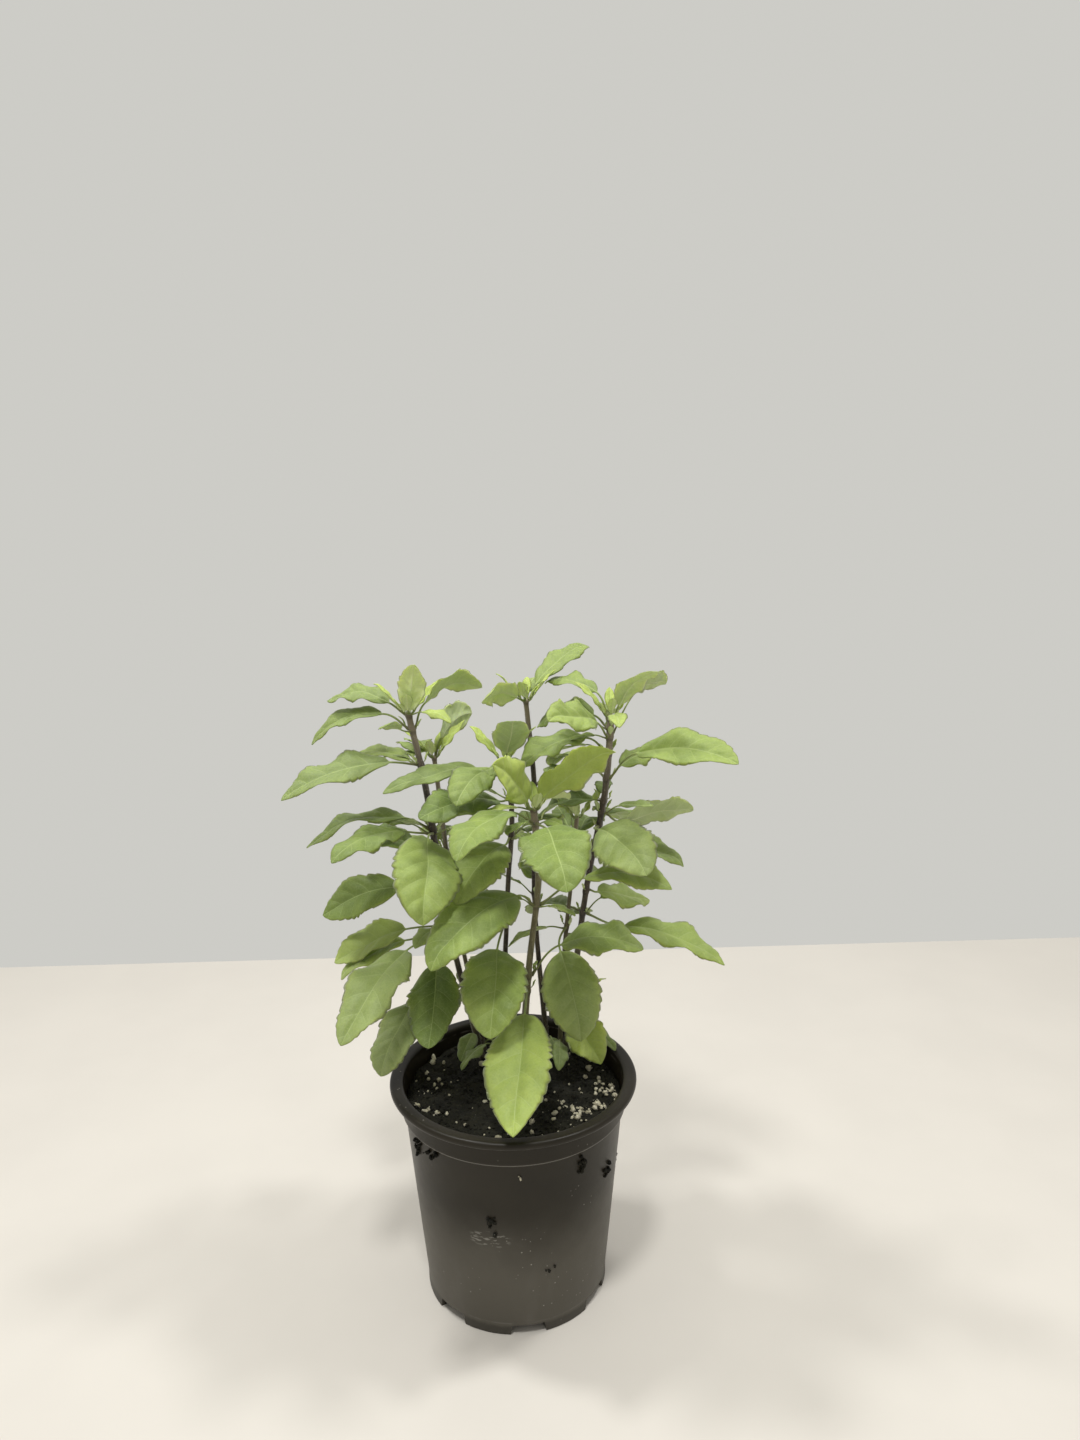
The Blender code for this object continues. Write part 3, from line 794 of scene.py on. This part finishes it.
def stemFinish():
    finish = Finish("stemBark", 0.55, Sheen_Weight=0.25, Sheen_Roughness=0.5, Specular_IOR_Level=0.35)
    darkness, greenTip, nearNode = finish.attribute("stemLook")
    streak = finish.noise(420.0, 3.0, place=finish.objectPlace((1.0, 1.0, 0.12)))
    blotch = finish.noise(90.0, 3.0)
    green = finish.mix(streak.stepped(0.3, 0.7), (0.15, 0.13, 0.060), (0.25, 0.23, 0.115))
    brown = finish.mix(streak.stepped(0.35, 0.65), (0.020, 0.013, 0.011), (0.062, 0.044, 0.033))
    dark = (darkness + (blotch - 0.5) * 0.55).clamped()
    colour = finish.mix(dark, green, brown)
    young = (greenTip + (streak - 0.5) * 0.3).clamped()
    colour = finish.mix(young * 0.85, colour, (0.25, 0.205, 0.14))
    colour = finish.mix(nearNode * 0.55, colour, (0.020, 0.013, 0.010))
    speck = finish.cells(700.0).stepped(0.30, 0.12)
    colour = finish.mix(speck * 0.35, colour, (0.28, 0.25, 0.17))
    height = streak * 0.8 + finish.noise(1500.0, 2.0) * 0.4 + speck * 0.5
    return finish.finished(colour, 0.45 + streak * 0.25, height, 0.6, 0.0003)


def hairFinish():
    finish = Finish("stemHair", 0.6)
    tint = finish.noise(200.0)
    return finish.finished(finish.mix(tint, (0.42, 0.40, 0.30), (0.62, 0.60, 0.48)))


stemMaterial, hairMaterial = stemFinish(), hairFinish()


def makeStem(name, route, plan, look, seed):
    # a tube with a rounded square section r(1 + q cos 4a), swollen where leaves join it
    rng = np.random.default_rng(seed)
    foot, top = route[0, 2], route[-1, 2]
    rings = int((top - foot) * plan["ringsPerMillimetre"])
    levels = np.linspace(foot, top, rings)
    centres = atHeight(route, levels)
    joints = np.array(sorted({leaf[0] for leaf in planting[name]["leaves"]}), float)
    near = np.exp(-(((levels[:, None] - joints) / plan["nodeSpread"]) ** 2)).max(axis=1)
    below = np.exp(-(((levels[:, None] - joints + 2.0) / 1.0) ** 2)).max(axis=1)
    angle = 2 * math.pi * np.arange(plan["sides"]) / plan["sides"] + rng.uniform(0, 1)
    turn = 0.5 * math.pi * (levels - foot) / 60.0
    square = 1 + plan["squareness"] * np.cos(4 * (angle[None, :] + 0.25 * turn[:, None]))
    lumps = 1 + 0.03 * np.sin(levels / 3.1 + seed)[:, None] * np.cos(angle + seed)[None, :]
    radius = (stemRadius(name, levels) + plan["nodeSwelling"] * near)[:, None] * square * lumps
    closing = np.sqrt(np.clip((top - levels) / 1.2, 0.02, 1.0))[:, None]
    radius = radius * closing
    flat = polar(1.0, angle, 0.0)
    grid = centres[:, None, :] + radius[..., None] * flat
    share = (levels - soilPlan["top"]) / (top - soilPlan["top"])
    darkFoot, darkTop, greenReach = look
    dark = darkFoot + (darkTop - darkFoot) * smoothRise(share, 0.1, 0.5)
    tip = smoothRise(share, 1 - greenReach, 1.0)
    looks = np.stack([dark, tip, below], axis=-1)[:, None, :]
    looks = np.broadcast_to(looks, grid.shape)
    faces = tubeFaces(rings, plan["sides"])
    makePiece(name + "_stem_bark", withPoles(grid), faces, stemMaterial, name + "_stem",
              {"stemLook": withPoles(looks)})

    # hairs: thin three-sided spikes that stand out from the bark, a little bent downwards
    count = int((top - soilPlan["top"]) * plan["hairsPerMillimetre"])
    level = rng.uniform(soilPlan["top"] + 4, top, count)
    direction = rng.uniform(0, 2 * math.pi, count)
    outwards = polar(1.0, direction, 0.0)
    rootPoint = atHeight(route, level) + outwards * (stemRadius(name, level) * 0.93)[:, None]
    length = plan["hairLength"] * rng.uniform(0.5, 1.3, count)
    leans = ((0, 0.25), (0, 0.25), (-0.1, 0.3))  # middle and spread along each axis
    lean = np.stack([rng.normal(middle, spread, count) for middle, spread in leans], axis=-1)
    tipPoint = rootPoint + (outwards + lean) * length[:, None]
    middle = (rootPoint + tipPoint) / 2 + np.array([0, 0, 0.08])
    sideways = np.cross(outwards, (0, 0, 1.0))
    upwards = np.cross(sideways, outwards)
    points, faces = [], []
    corner = 2 * math.pi * np.arange(3) / 3
    for centre, width in ((rootPoint, 1.0), (middle, 0.7)):
        spoke = np.cos(corner)[None, :, None] * sideways[:, None, :]
        spoke = spoke + np.sin(corner)[None, :, None] * upwards[:, None, :]
        points.append(centre[:, None, :] + spoke * plan["hairWidth"] / 2 * width)
    points.append(tipPoint[:, None, :])
    points = np.concatenate(points, axis=1)
    base = np.arange(count)[:, None] * points.shape[1]
    for side in range(3):
        after = (side + 1) % 3
        faces += (base + np.array([side, after, 3 + after])).tolist()
        faces += (base + np.array([side, 3 + after, 3 + side])).tolist()
        faces += (base + np.array([3 + side, 3 + after, 6])).tolist()
    faces += (base + np.array([2, 1, 0])).tolist()
    makePiece(name + "_stem_hairs", points.reshape(-1, 3), faces, hairMaterial)


for stemNumber, (stemName, route) in enumerate(routes.items()):
    makeStem(stemName, route, stemPlan, stemLooks[stemName], stemNumber + 1)
print("stems and their hairs made")


potPlan = {
    "height": 151.0,
    "rimRadius": 82.5,
    "rimDrop": 4.8,
    "mouthRadius": 73.2,
    "baseRadius": 61.5,
    "collarRadius": 74.8,
    "collarDrop": 20.0,
    "wall": 1.5,
    "footHeight": 7.0,
    "footDepth": 8.0,
    "feet": 7,
    "footShare": 4 / 7,  # of the way from one foot to the next
    "footTurn": 30.0,  # where the first foot starts
    "footCorner": 2.2,  # radius at the top of the gap between feet
    "drainRadius": 5.5,
    "drainCircle": 44.0,
    "sides": 294,
    "scuffPlace": (-17.0, 74.0),  # across and up, on the front
    "scuffSize": (15.0, 7.0),
}


def wallRadius(height):
    plan = potPlan
    share = (height - plan["footHeight"]) / (plan["height"] - plan["footHeight"])
    return plan["baseRadius"] + share * (plan["mouthRadius"] + plan["wall"] - plan["baseRadius"])


def rounded(points, radius, steps=4):
    # each inner corner of a (radius, height) profile becomes a quadratic curve, drawn towards the corner
    points = np.array(points, float)
    made = [points[:1]]
    for before, corner, after in zip(points, points[1:], points[2:]):
        size = min(radius, 0.45 * np.linalg.norm(corner - before), 0.45 * np.linalg.norm(after - corner))
        enter = corner + (before - corner) / np.linalg.norm(before - corner) * size
        leave = corner + (after - corner) / np.linalg.norm(after - corner) * size
        s = np.linspace(0, 1, steps)[:, None]
        made.append((1 - s) ** 2 * enter + 2 * s * (1 - s) * corner + s**2 * leave)
    made.append(points[-1:])
    return np.concatenate(made)


def potFinish():
    finish = Finish("mouldedPlastic", 0.45, Specular_IOR_Level=0.18, Coat_Weight=0.12, Coat_Roughness=0.3)
    x, y, height = finish.parts(finish.objectPlace((1 / mm, 1 / mm, 1 / mm)))
    cloud = finish.noise(16.0, 4.0)
    fine = finish.noise(140.0, 4.0)
    colour = finish.mix(cloud.stepped(0.3, 0.7), (0.014, 0.0112, 0.006), (0.02, 0.0163, 0.0092))
    # painted reflection of the pale floor: lighter over its lower half, darker above
    paintedReflection = ((height + (cloud - 0.5) * 60.0).stepped(100.0, 40.0) * 0.9).clamped()
    colour = finish.mix(paintedReflection, colour, (0.096, 0.088, 0.070))
    streak = finish.noise(60.0, 4.0, place=finish.objectPlace((1.0, 1.0, 0.3)))
    dust = (streak.stepped(0.45, 0.85) * height.stepped(90.0, 5.0) * cloud.stepped(0.35, 0.65)).clamped()
    colour = finish.mix(dust * 0.3, colour, (0.16, 0.15, 0.13))
    # a painted highlight along the ridge at the foot of the collar; rubbed lines under the lip and above the
    # feet, then one scuffed patch
    ring = potPlan["height"] - potPlan["collarDrop"]
    # painted highlight: a pale band along the collar's ridge
    line = abs(height - ring).stepped(0.9, 0.3) * (0.5 + fine * 0.5)
    lip = potPlan["height"] - potPlan["rimDrop"]
    lipLine = abs(height - lip).stepped(0.9, 0.2) * fine.stepped(0.45, 0.62)
    heel = abs(height - (potPlan["footHeight"] + 1.6)).stepped(0.8, 0.2) * fine.stepped(0.35, 0.65)
    colour = finish.mix(line, colour, (0.20, 0.19, 0.165))
    colour = finish.mix(lipLine * 0.6 + heel * 0.35, colour, (0.17, 0.16, 0.14))
    (scuffX, scuffUp), (scuffWide, scuffHigh) = potPlan["scuffPlace"], potPlan["scuffSize"]
    away = ((x - scuffX) / scuffWide) ** 2.0 + ((height - scuffUp) / scuffHigh) ** 2.0
    scratch = finish.noise(330.0, 3.0, place=finish.objectPlace((0.5, 0.5, 1.6))).stepped(0.52, 0.62)
    scuff = away.stepped(1.0, 0.3) * y.stepped(0.0, -20.0) * scratch
    colour = finish.mix(scuff * 0.45, colour, (0.36, 0.35, 0.31))
    # painted shade: the feet, next to the floor, darker than the wall above
    colour = finish.mix((height + fine * 3.0).stepped(9.5, 6.5) * 0.5, colour, (0.018, 0.016, 0.012))
    grain = finish.cells(230.0).stepped(0.15, 0.06) * finish.noise(24.0, 2.0).stepped(0.48, 0.66)
    colour = finish.mix(grain * 0.6, colour, (0.42, 0.40, 0.35))
    rough = 0.34 + fine * 0.14 + paintedReflection * 0.10 + grain * 0.3
    bump = finish.noise(1100.0, 2.0) * 0.35 + fine * 0.35 + grain * 0.6
    return finish.finished(colour, rough, bump, 0.35, 0.0003)


def potProfile():
    # the outside from the middle of the floor to the rim, then the inside back to the middle
    plan = potPlan
    top = plan["height"]
    lip = top - plan["rimDrop"]
    step = top - plan["collarDrop"]
    foot = plan["footHeight"]
    floor = foot + plan["wall"]
    radius, collar = plan["rimRadius"], plan["collarRadius"]
    outside = [
        (wallRadius(foot), foot), (wallRadius(foot) + 0.05, foot + 1.6),
        (wallRadius(foot + 3) - 0.25, foot + 2.2),
        (wallRadius(step / 3), step / 3), (wallRadius(step * 2 / 3), step * 2 / 3),
        (wallRadius(step - 1.2), step - 1.2), (collar, step), (collar + 0.35, step + 1.5),
        (collar + 0.6, lip + 0.8), (radius - 2.4, lip - 0.1), (radius - 0.7, lip + 0.2), (radius, lip + 2.4),
        (radius - 0.7, top - 0.6), (radius - 2.2, top), (plan["mouthRadius"] + 2.2, top - 0.3),
        (plan["mouthRadius"] + 0.5, top - 1.0), (plan["mouthRadius"], top - 3.0),
        (wallRadius(top * 0.6) - plan["wall"], top * 0.6), (wallRadius(top * 0.3) - plan["wall"], top * 0.3),
        (wallRadius(floor) - plan["wall"], floor), (30.0, floor), (0.4, floor),
    ]
    return rounded(outside, 1.1)


def makePot(plan):
    # the profile turned about Z; below the wall the feet drop to the ground, and each gap's top corners curve
    # by c - sqrt(c^2 - (c - distance)^2)
    turn = 360 / plan["feet"]
    around = np.arange(plan["sides"]) * 360 / plan["sides"]
    angle = np.radians(around + plan["footTurn"])
    within = around % turn
    footEnd = turn * plan["footShare"]
    fromEdge = np.minimum.reduce([np.abs(within), np.abs(within - footEnd), np.abs(within - turn)])
    inFoot = within <= footEnd + 1e-6
    arc = np.radians(fromEdge) * plan["baseRadius"]
    corner = plan["footCorner"]
    curve = corner - np.sqrt(np.clip(corner**2 - (corner - np.minimum(arc, corner)) ** 2, 0, None))
    ground = np.where(inFoot, 0.0, plan["footHeight"] - curve)
    foot = plan["footHeight"]
    inner = plan["baseRadius"] - plan["footDepth"]
    outer = plan["baseRadius"]
    under = [  # from the middle of the underside to the outside of the feet: radius, height
        (0.4, foot), (20.0, foot), (inner - 2, foot),
        (inner, np.minimum(foot, ground + foot)), (inner + 0.3, ground + 0.3), (inner + 1.0, ground),
        (outer - 1.0, ground), (outer - 0.25, ground + 0.25), (outer, ground + 1.0),
    ]
    lower = np.stack([polar(radius, angle, height) for radius, height in under])
    lower[:, :, 2] = np.minimum(lower[:, :, 2], foot)
    profile = potProfile()
    upper = polar(profile[:, :1], angle, profile[:, 1:])
    # the moulding is a hair out of round at the rim
    grid = np.concatenate([lower, upper])
    sag = 1 + 0.0025 * np.cos(2 * angle + 0.7)[None, :] * smoothRise(grid[:, :, 2], 40.0, plan["height"])
    grid[:, :, :2] *= sag[..., None]
    points = withPoles(grid)
    points[-2:, 2] = foot, foot + plan["wall"]
    piece = makePiece("pot_shell", points, tubeFaces(*grid.shape[:2]), potFinish(), "pot")
    piece.data.set_sharp_from_angle(angle=math.radians(50))
    return piece


def drillPot(piece, plan):
    # round drain holes through the floor: one in the middle and one inside each gap between the feet
    mesh = bpy.data.meshes.new("drainPins")
    points, faces = [], []
    sides = 20
    ring = 2 * math.pi * np.arange(sides) / sides
    turn = 360 / plan["feet"]
    centres = [(0.0, 0.0)]
    for foot in range(plan["feet"]):
        angle = math.radians(plan["footTurn"] + turn * (foot + (1 + plan["footShare"]) / 2))
        centres.append((plan["drainCircle"] * math.cos(angle), plan["drainCircle"] * math.sin(angle)))
    for x, y in centres:
        start = len(points)
        for height in (plan["footHeight"] - 2, plan["footHeight"] + plan["wall"] + 2):
            points += (polar(plan["drainRadius"], ring, height) + (x, y, 0.0)).tolist()
        faces.append([start + i for i in reversed(range(sides))])
        faces.append([start + sides + i for i in range(sides)])
        for i in range(sides):
            after = (i + 1) % sides
            faces.append([start + i, start + after, start + sides + after, start + sides + i])
    mesh.from_pydata((np.array(points) * mm).tolist(), [], faces)
    pins = bpy.data.objects.new("drainPins", mesh)
    scene.collection.objects.link(pins)
    drill = piece.modifiers.new("drill", "BOOLEAN")
    drill.object = pins
    drill.solver = "EXACT"
    evaluated = piece.evaluated_get(bpy.context.evaluated_depsgraph_get())
    drilled = bpy.data.meshes.new_from_object(evaluated)
    piece.modifiers.clear()
    piece.data = drilled
    bpy.data.objects.remove(pins)


drillPot(makePot(potPlan), potPlan)
print("pot turned and drilled")


def ballFaces(level):
    # a cube's faces cut into level x level squares, for pushing out to a ball
    s = np.linspace(-1, 1, level + 1)
    a, b = np.meshgrid(s, s, indexing="ij")
    one = np.ones_like(a)
    sides = [(a, b, one), (b, a, -one), (one, a, b), (-one, b, a), (b, one, a), (a, -one, b)]
    points = np.concatenate([np.stack(side, -1).reshape(-1, 3) for side in sides])
    points /= np.linalg.norm(points, axis=1)[:, None]
    keys, index = np.unique(np.round(points, 5), axis=0, return_inverse=True)
    count = level + 1
    row, column = np.meshgrid(np.arange(level), np.arange(level), indexing="ij")
    near = (row * count + column).ravel()
    quads = np.stack([near, near + count, near + count + 1, near + 1], axis=-1)
    allQuads = np.concatenate([quads + k * count * count for k in range(6)])
    return keys, index.ravel()[allQuads]


def soilHeight(x, y):
    # gentle lumps, then four finer sets, each about half the size of the one before
    base = 1.6 * (np.sin(0.13 * x + 0.6) * np.cos(0.11 * y) + 0.5 * np.sin(0.27 * (x + y)))
    fine = 0 * x
    for octave, (scale, high) in enumerate([(0.42, 0.55), (0.9, 0.38), (1.9, 0.26), (3.7, 0.16)]):
        angle = 1.3 * octave + 0.4
        across = x * math.cos(angle) + y * math.sin(angle)
        along = y * math.cos(angle) - x * math.sin(angle)
        rows = np.sin(scale * across + 2.1 * np.sin(0.31 * scale * along + octave))
        columns = np.cos(scale * 1.13 * along + 1.7 * np.sin(0.37 * scale * across))
        fine = fine + high * rows * columns
    return soilPlan["top"] + base + fine


def soilFinish():
    finish = Finish("pottingMix", 0.9, Specular_IOR_Level=0.3)
    clump = finish.noise(70.0, 4.0)
    crumb = finish.noise(330.0, 4.0)
    chips = finish.cells(260.0)
    colour = finish.mix(clump.stepped(0.3, 0.7), (0.0070, 0.0068, 0.0042), (0.018, 0.017, 0.010))
    colour = finish.mix(crumb.stepped(0.5, 0.75) * 0.5, colour, (0.036, 0.031, 0.019))
    fleck = finish.cells(420.0).stepped(0.13, 0.05) * finish.noise(60.0).stepped(0.45, 0.62)
    colour = finish.mix(fleck * 0.6, colour, (0.33, 0.32, 0.26))
    height = crumb * 0.8 + chips * 0.8 + finish.noise(1300.0, 3.0) * 0.3
    return finish.finished(colour, 0.82 + crumb * 0.15, height, 1.0, 0.0012)


def perliteFinish():
    finish = Finish("perliteGrain", 0.85)
    stain = finish.noise(260.0, 4.0)
    colour = finish.mix(stain.stepped(0.35, 0.7), (0.66, 0.62, 0.47), (0.40, 0.36, 0.24))
    colour = finish.mix(finish.noise(900.0, 2.0).stepped(0.6, 0.75) * 0.6, colour, (0.10, 0.09, 0.06))
    return finish.finished(colour, 0.9, finish.noise(1500.0, 3.0), 0.6, 0.0004)


def makeSoil(plan):
    # a disc whose rings are closer together towards its edge, with the cup's inside below it
    angle = 2 * math.pi * np.arange(plan["sides"]) / plan["sides"]
    gap, wall = 0.3, potPlan["wall"]
    bottom = potPlan["footHeight"] + wall + gap
    edge = wallRadius(plan["top"] - 1) - wall - gap
    low = wallRadius(bottom) - wall - gap
    radius = edge * np.linspace(1.0, 0.004, plan["rings"])
    top = polar(radius[:, None], angle, 0.0)
    top[:, :, 2] = soilHeight(top[:, :, 0], top[:, :, 1])
    settle = smoothRise(radius, edge - 3, edge)[:, None]
    top[:, :, 2] -= 1.2 * settle
    middle = ((low + edge) / 2, (bottom + plan["top"]) / 2)
    cup = [polar(r, angle, z) for r, z in ((0.3, bottom), (low * 0.5, bottom), (low, bottom), middle)]
    grid = np.concatenate([np.stack(cup), top])
    makePiece("soil_mix", withPoles(grid), tubeFaces(*grid.shape[:2]), soilMaterial, "soil")


def scatterGrains(name, places, sizes, material, seed, level=3, rough=0.32):
    # each grain is a ball stretched by three random amounts, creased by a sum of |sine| and turned at random
    rng = np.random.default_rng(seed)
    ball, quads = ballFaces(level)
    count = len(places)
    stretch = rng.uniform(0.6, 1.15, (count, 1, 3))
    wave = rng.uniform(1.5, 4.5, (count, 3, 3))
    shift = rng.uniform(0, 6.3, (count, 3))
    dents = 1.5 - np.abs(np.sin(np.einsum("pk,njk->npj", ball, wave) + shift[:, None, :])).sum(-1)
    shape = ball[None] * np.maximum(1 + rough * dents[..., None], 0.25) * stretch
    turn = rng.normal(size=(count, 4))
    turn /= np.linalg.norm(turn, axis=1)[:, None]
    w, x, y, z = turn.T
    spin = np.stack([
        np.stack([1 - 2 * (y * y + z * z), 2 * (x * y - z * w), 2 * (x * z + y * w)], -1),
        np.stack([2 * (x * y + z * w), 1 - 2 * (x * x + z * z), 2 * (y * z - x * w)], -1),
        np.stack([2 * (x * z - y * w), 2 * (y * z + x * w), 1 - 2 * (x * x + y * y)], -1),
    ], axis=1)
    shape = np.einsum("nij,npj->npi", spin, shape) * (np.asarray(sizes) / 2)[:, None, None]
    points = (shape + np.asarray(places)[:, None, :]).reshape(-1, 3)
    faces = (quads[None] + np.arange(count)[:, None, None] * len(ball)).reshape(-1, 4)
    return makePiece(name, points, faces.tolist(), material)


def clearOfStems(x, y, gap):
    clear = np.ones(len(x), bool)
    for route in routes.values():
        foot = atHeight(route, soilPlan["top"])
        clear &= np.hypot(x - foot[0], y - foot[1]) > gap
    return clear


def makeTopDressing(plan):
    rng = np.random.default_rng(41)
    limit = wallRadius(plan["top"]) - potPlan["wall"] - 3.0
    spread = [(math.radians(h), d, n, s) for h, d, n, s in plan["clusters"]]
    x = np.concatenate([d * math.cos(h) + rng.normal(0, s, n) for h, d, n, s in spread])
    y = np.concatenate([d * math.sin(h) + rng.normal(0, s, n) for h, d, n, s in spread])
    loose = plan["perlite"] - len(x)
    away, heading = limit * np.sqrt(rng.uniform(0, 1, loose)), rng.uniform(0, 2 * math.pi, loose)
    x, y = np.append(x, away * np.cos(heading)), np.append(y, away * np.sin(heading))
    sizes = np.clip(rng.lognormal(0.85, 0.45, len(x)), 1.0, 5.6)
    keep = (np.hypot(x, y) < limit) & clearOfStems(x, y, 5.0)
    x, y, sizes = x[keep], y[keep], sizes[keep]
    places = np.stack([x, y, soilHeight(x, y) + sizes * 0.18], axis=-1)
    scatterGrains("perlite_grains", places, sizes, perliteMaterial, 42, level=4)

    away = limit * np.sqrt(rng.uniform(0, 1, plan["clods"]))
    heading = rng.uniform(0, 2 * math.pi, plan["clods"])
    x, y = away * np.cos(heading), away * np.sin(heading)
    keep = clearOfStems(x, y, 3.5)
    x, y = x[keep], y[keep]
    sizes = np.clip(rng.lognormal(0.35, 0.5, len(x)), 0.6, 4.2)
    places = np.stack([x, y, soilHeight(x, y) + sizes * 0.12], axis=-1)
    scatterGrains("soil_crumbs", places, sizes, soilMaterial, 43, level=2)


def stuckCrumbs(plan):
    # small clods of mix in loose clumps around the outside of the pot, and a few grains of perlite
    rng = np.random.default_rng(77)
    places, sizes = [], []
    for clump in range(plan["clumps"]):
        heading = 360 / plan["clumps"] * clump + rng.uniform(-8, 8)
        height = rng.uniform(*plan["clumpHeight"])
        count = int(rng.integers(*plan["clumpGrains"]))
        spread = rng.uniform(*plan["clumpSpread"])
        angle = math.radians(heading) + rng.normal(0, spread, count) / 75
        level = np.clip(height + rng.normal(0, 1.3 * spread, count), 8.0, 146.0)
        collar = potPlan["height"] - potPlan["collarDrop"]
        radius = np.where(level > collar, potPlan["collarRadius"] + 0.5, wallRadius(level))
        size = rng.uniform(1.0, 4.2, count)
        radius = radius + size * 0.25
        places.append(polar(radius, angle, level))
        sizes.append(size)
    scatterGrains("clinging_crumbs", np.concatenate(places), np.concatenate(sizes), soilMaterial,
                  78, level=3)
    grains = plan["clingingPerlite"]
    front = -wallRadius(grains[0][1]) - 0.4
    scatterGrains("clinging_perlite", [(x, front, height) for x, height, size in grains],
                  [size for x, height, size in grains], perliteMaterial, 79)


soilMaterial, perliteMaterial = soilFinish(), perliteFinish()
makeSoil(soilPlan)
makeTopDressing(soilPlan)
stuckCrumbs(soilPlan)
print("soil laid")
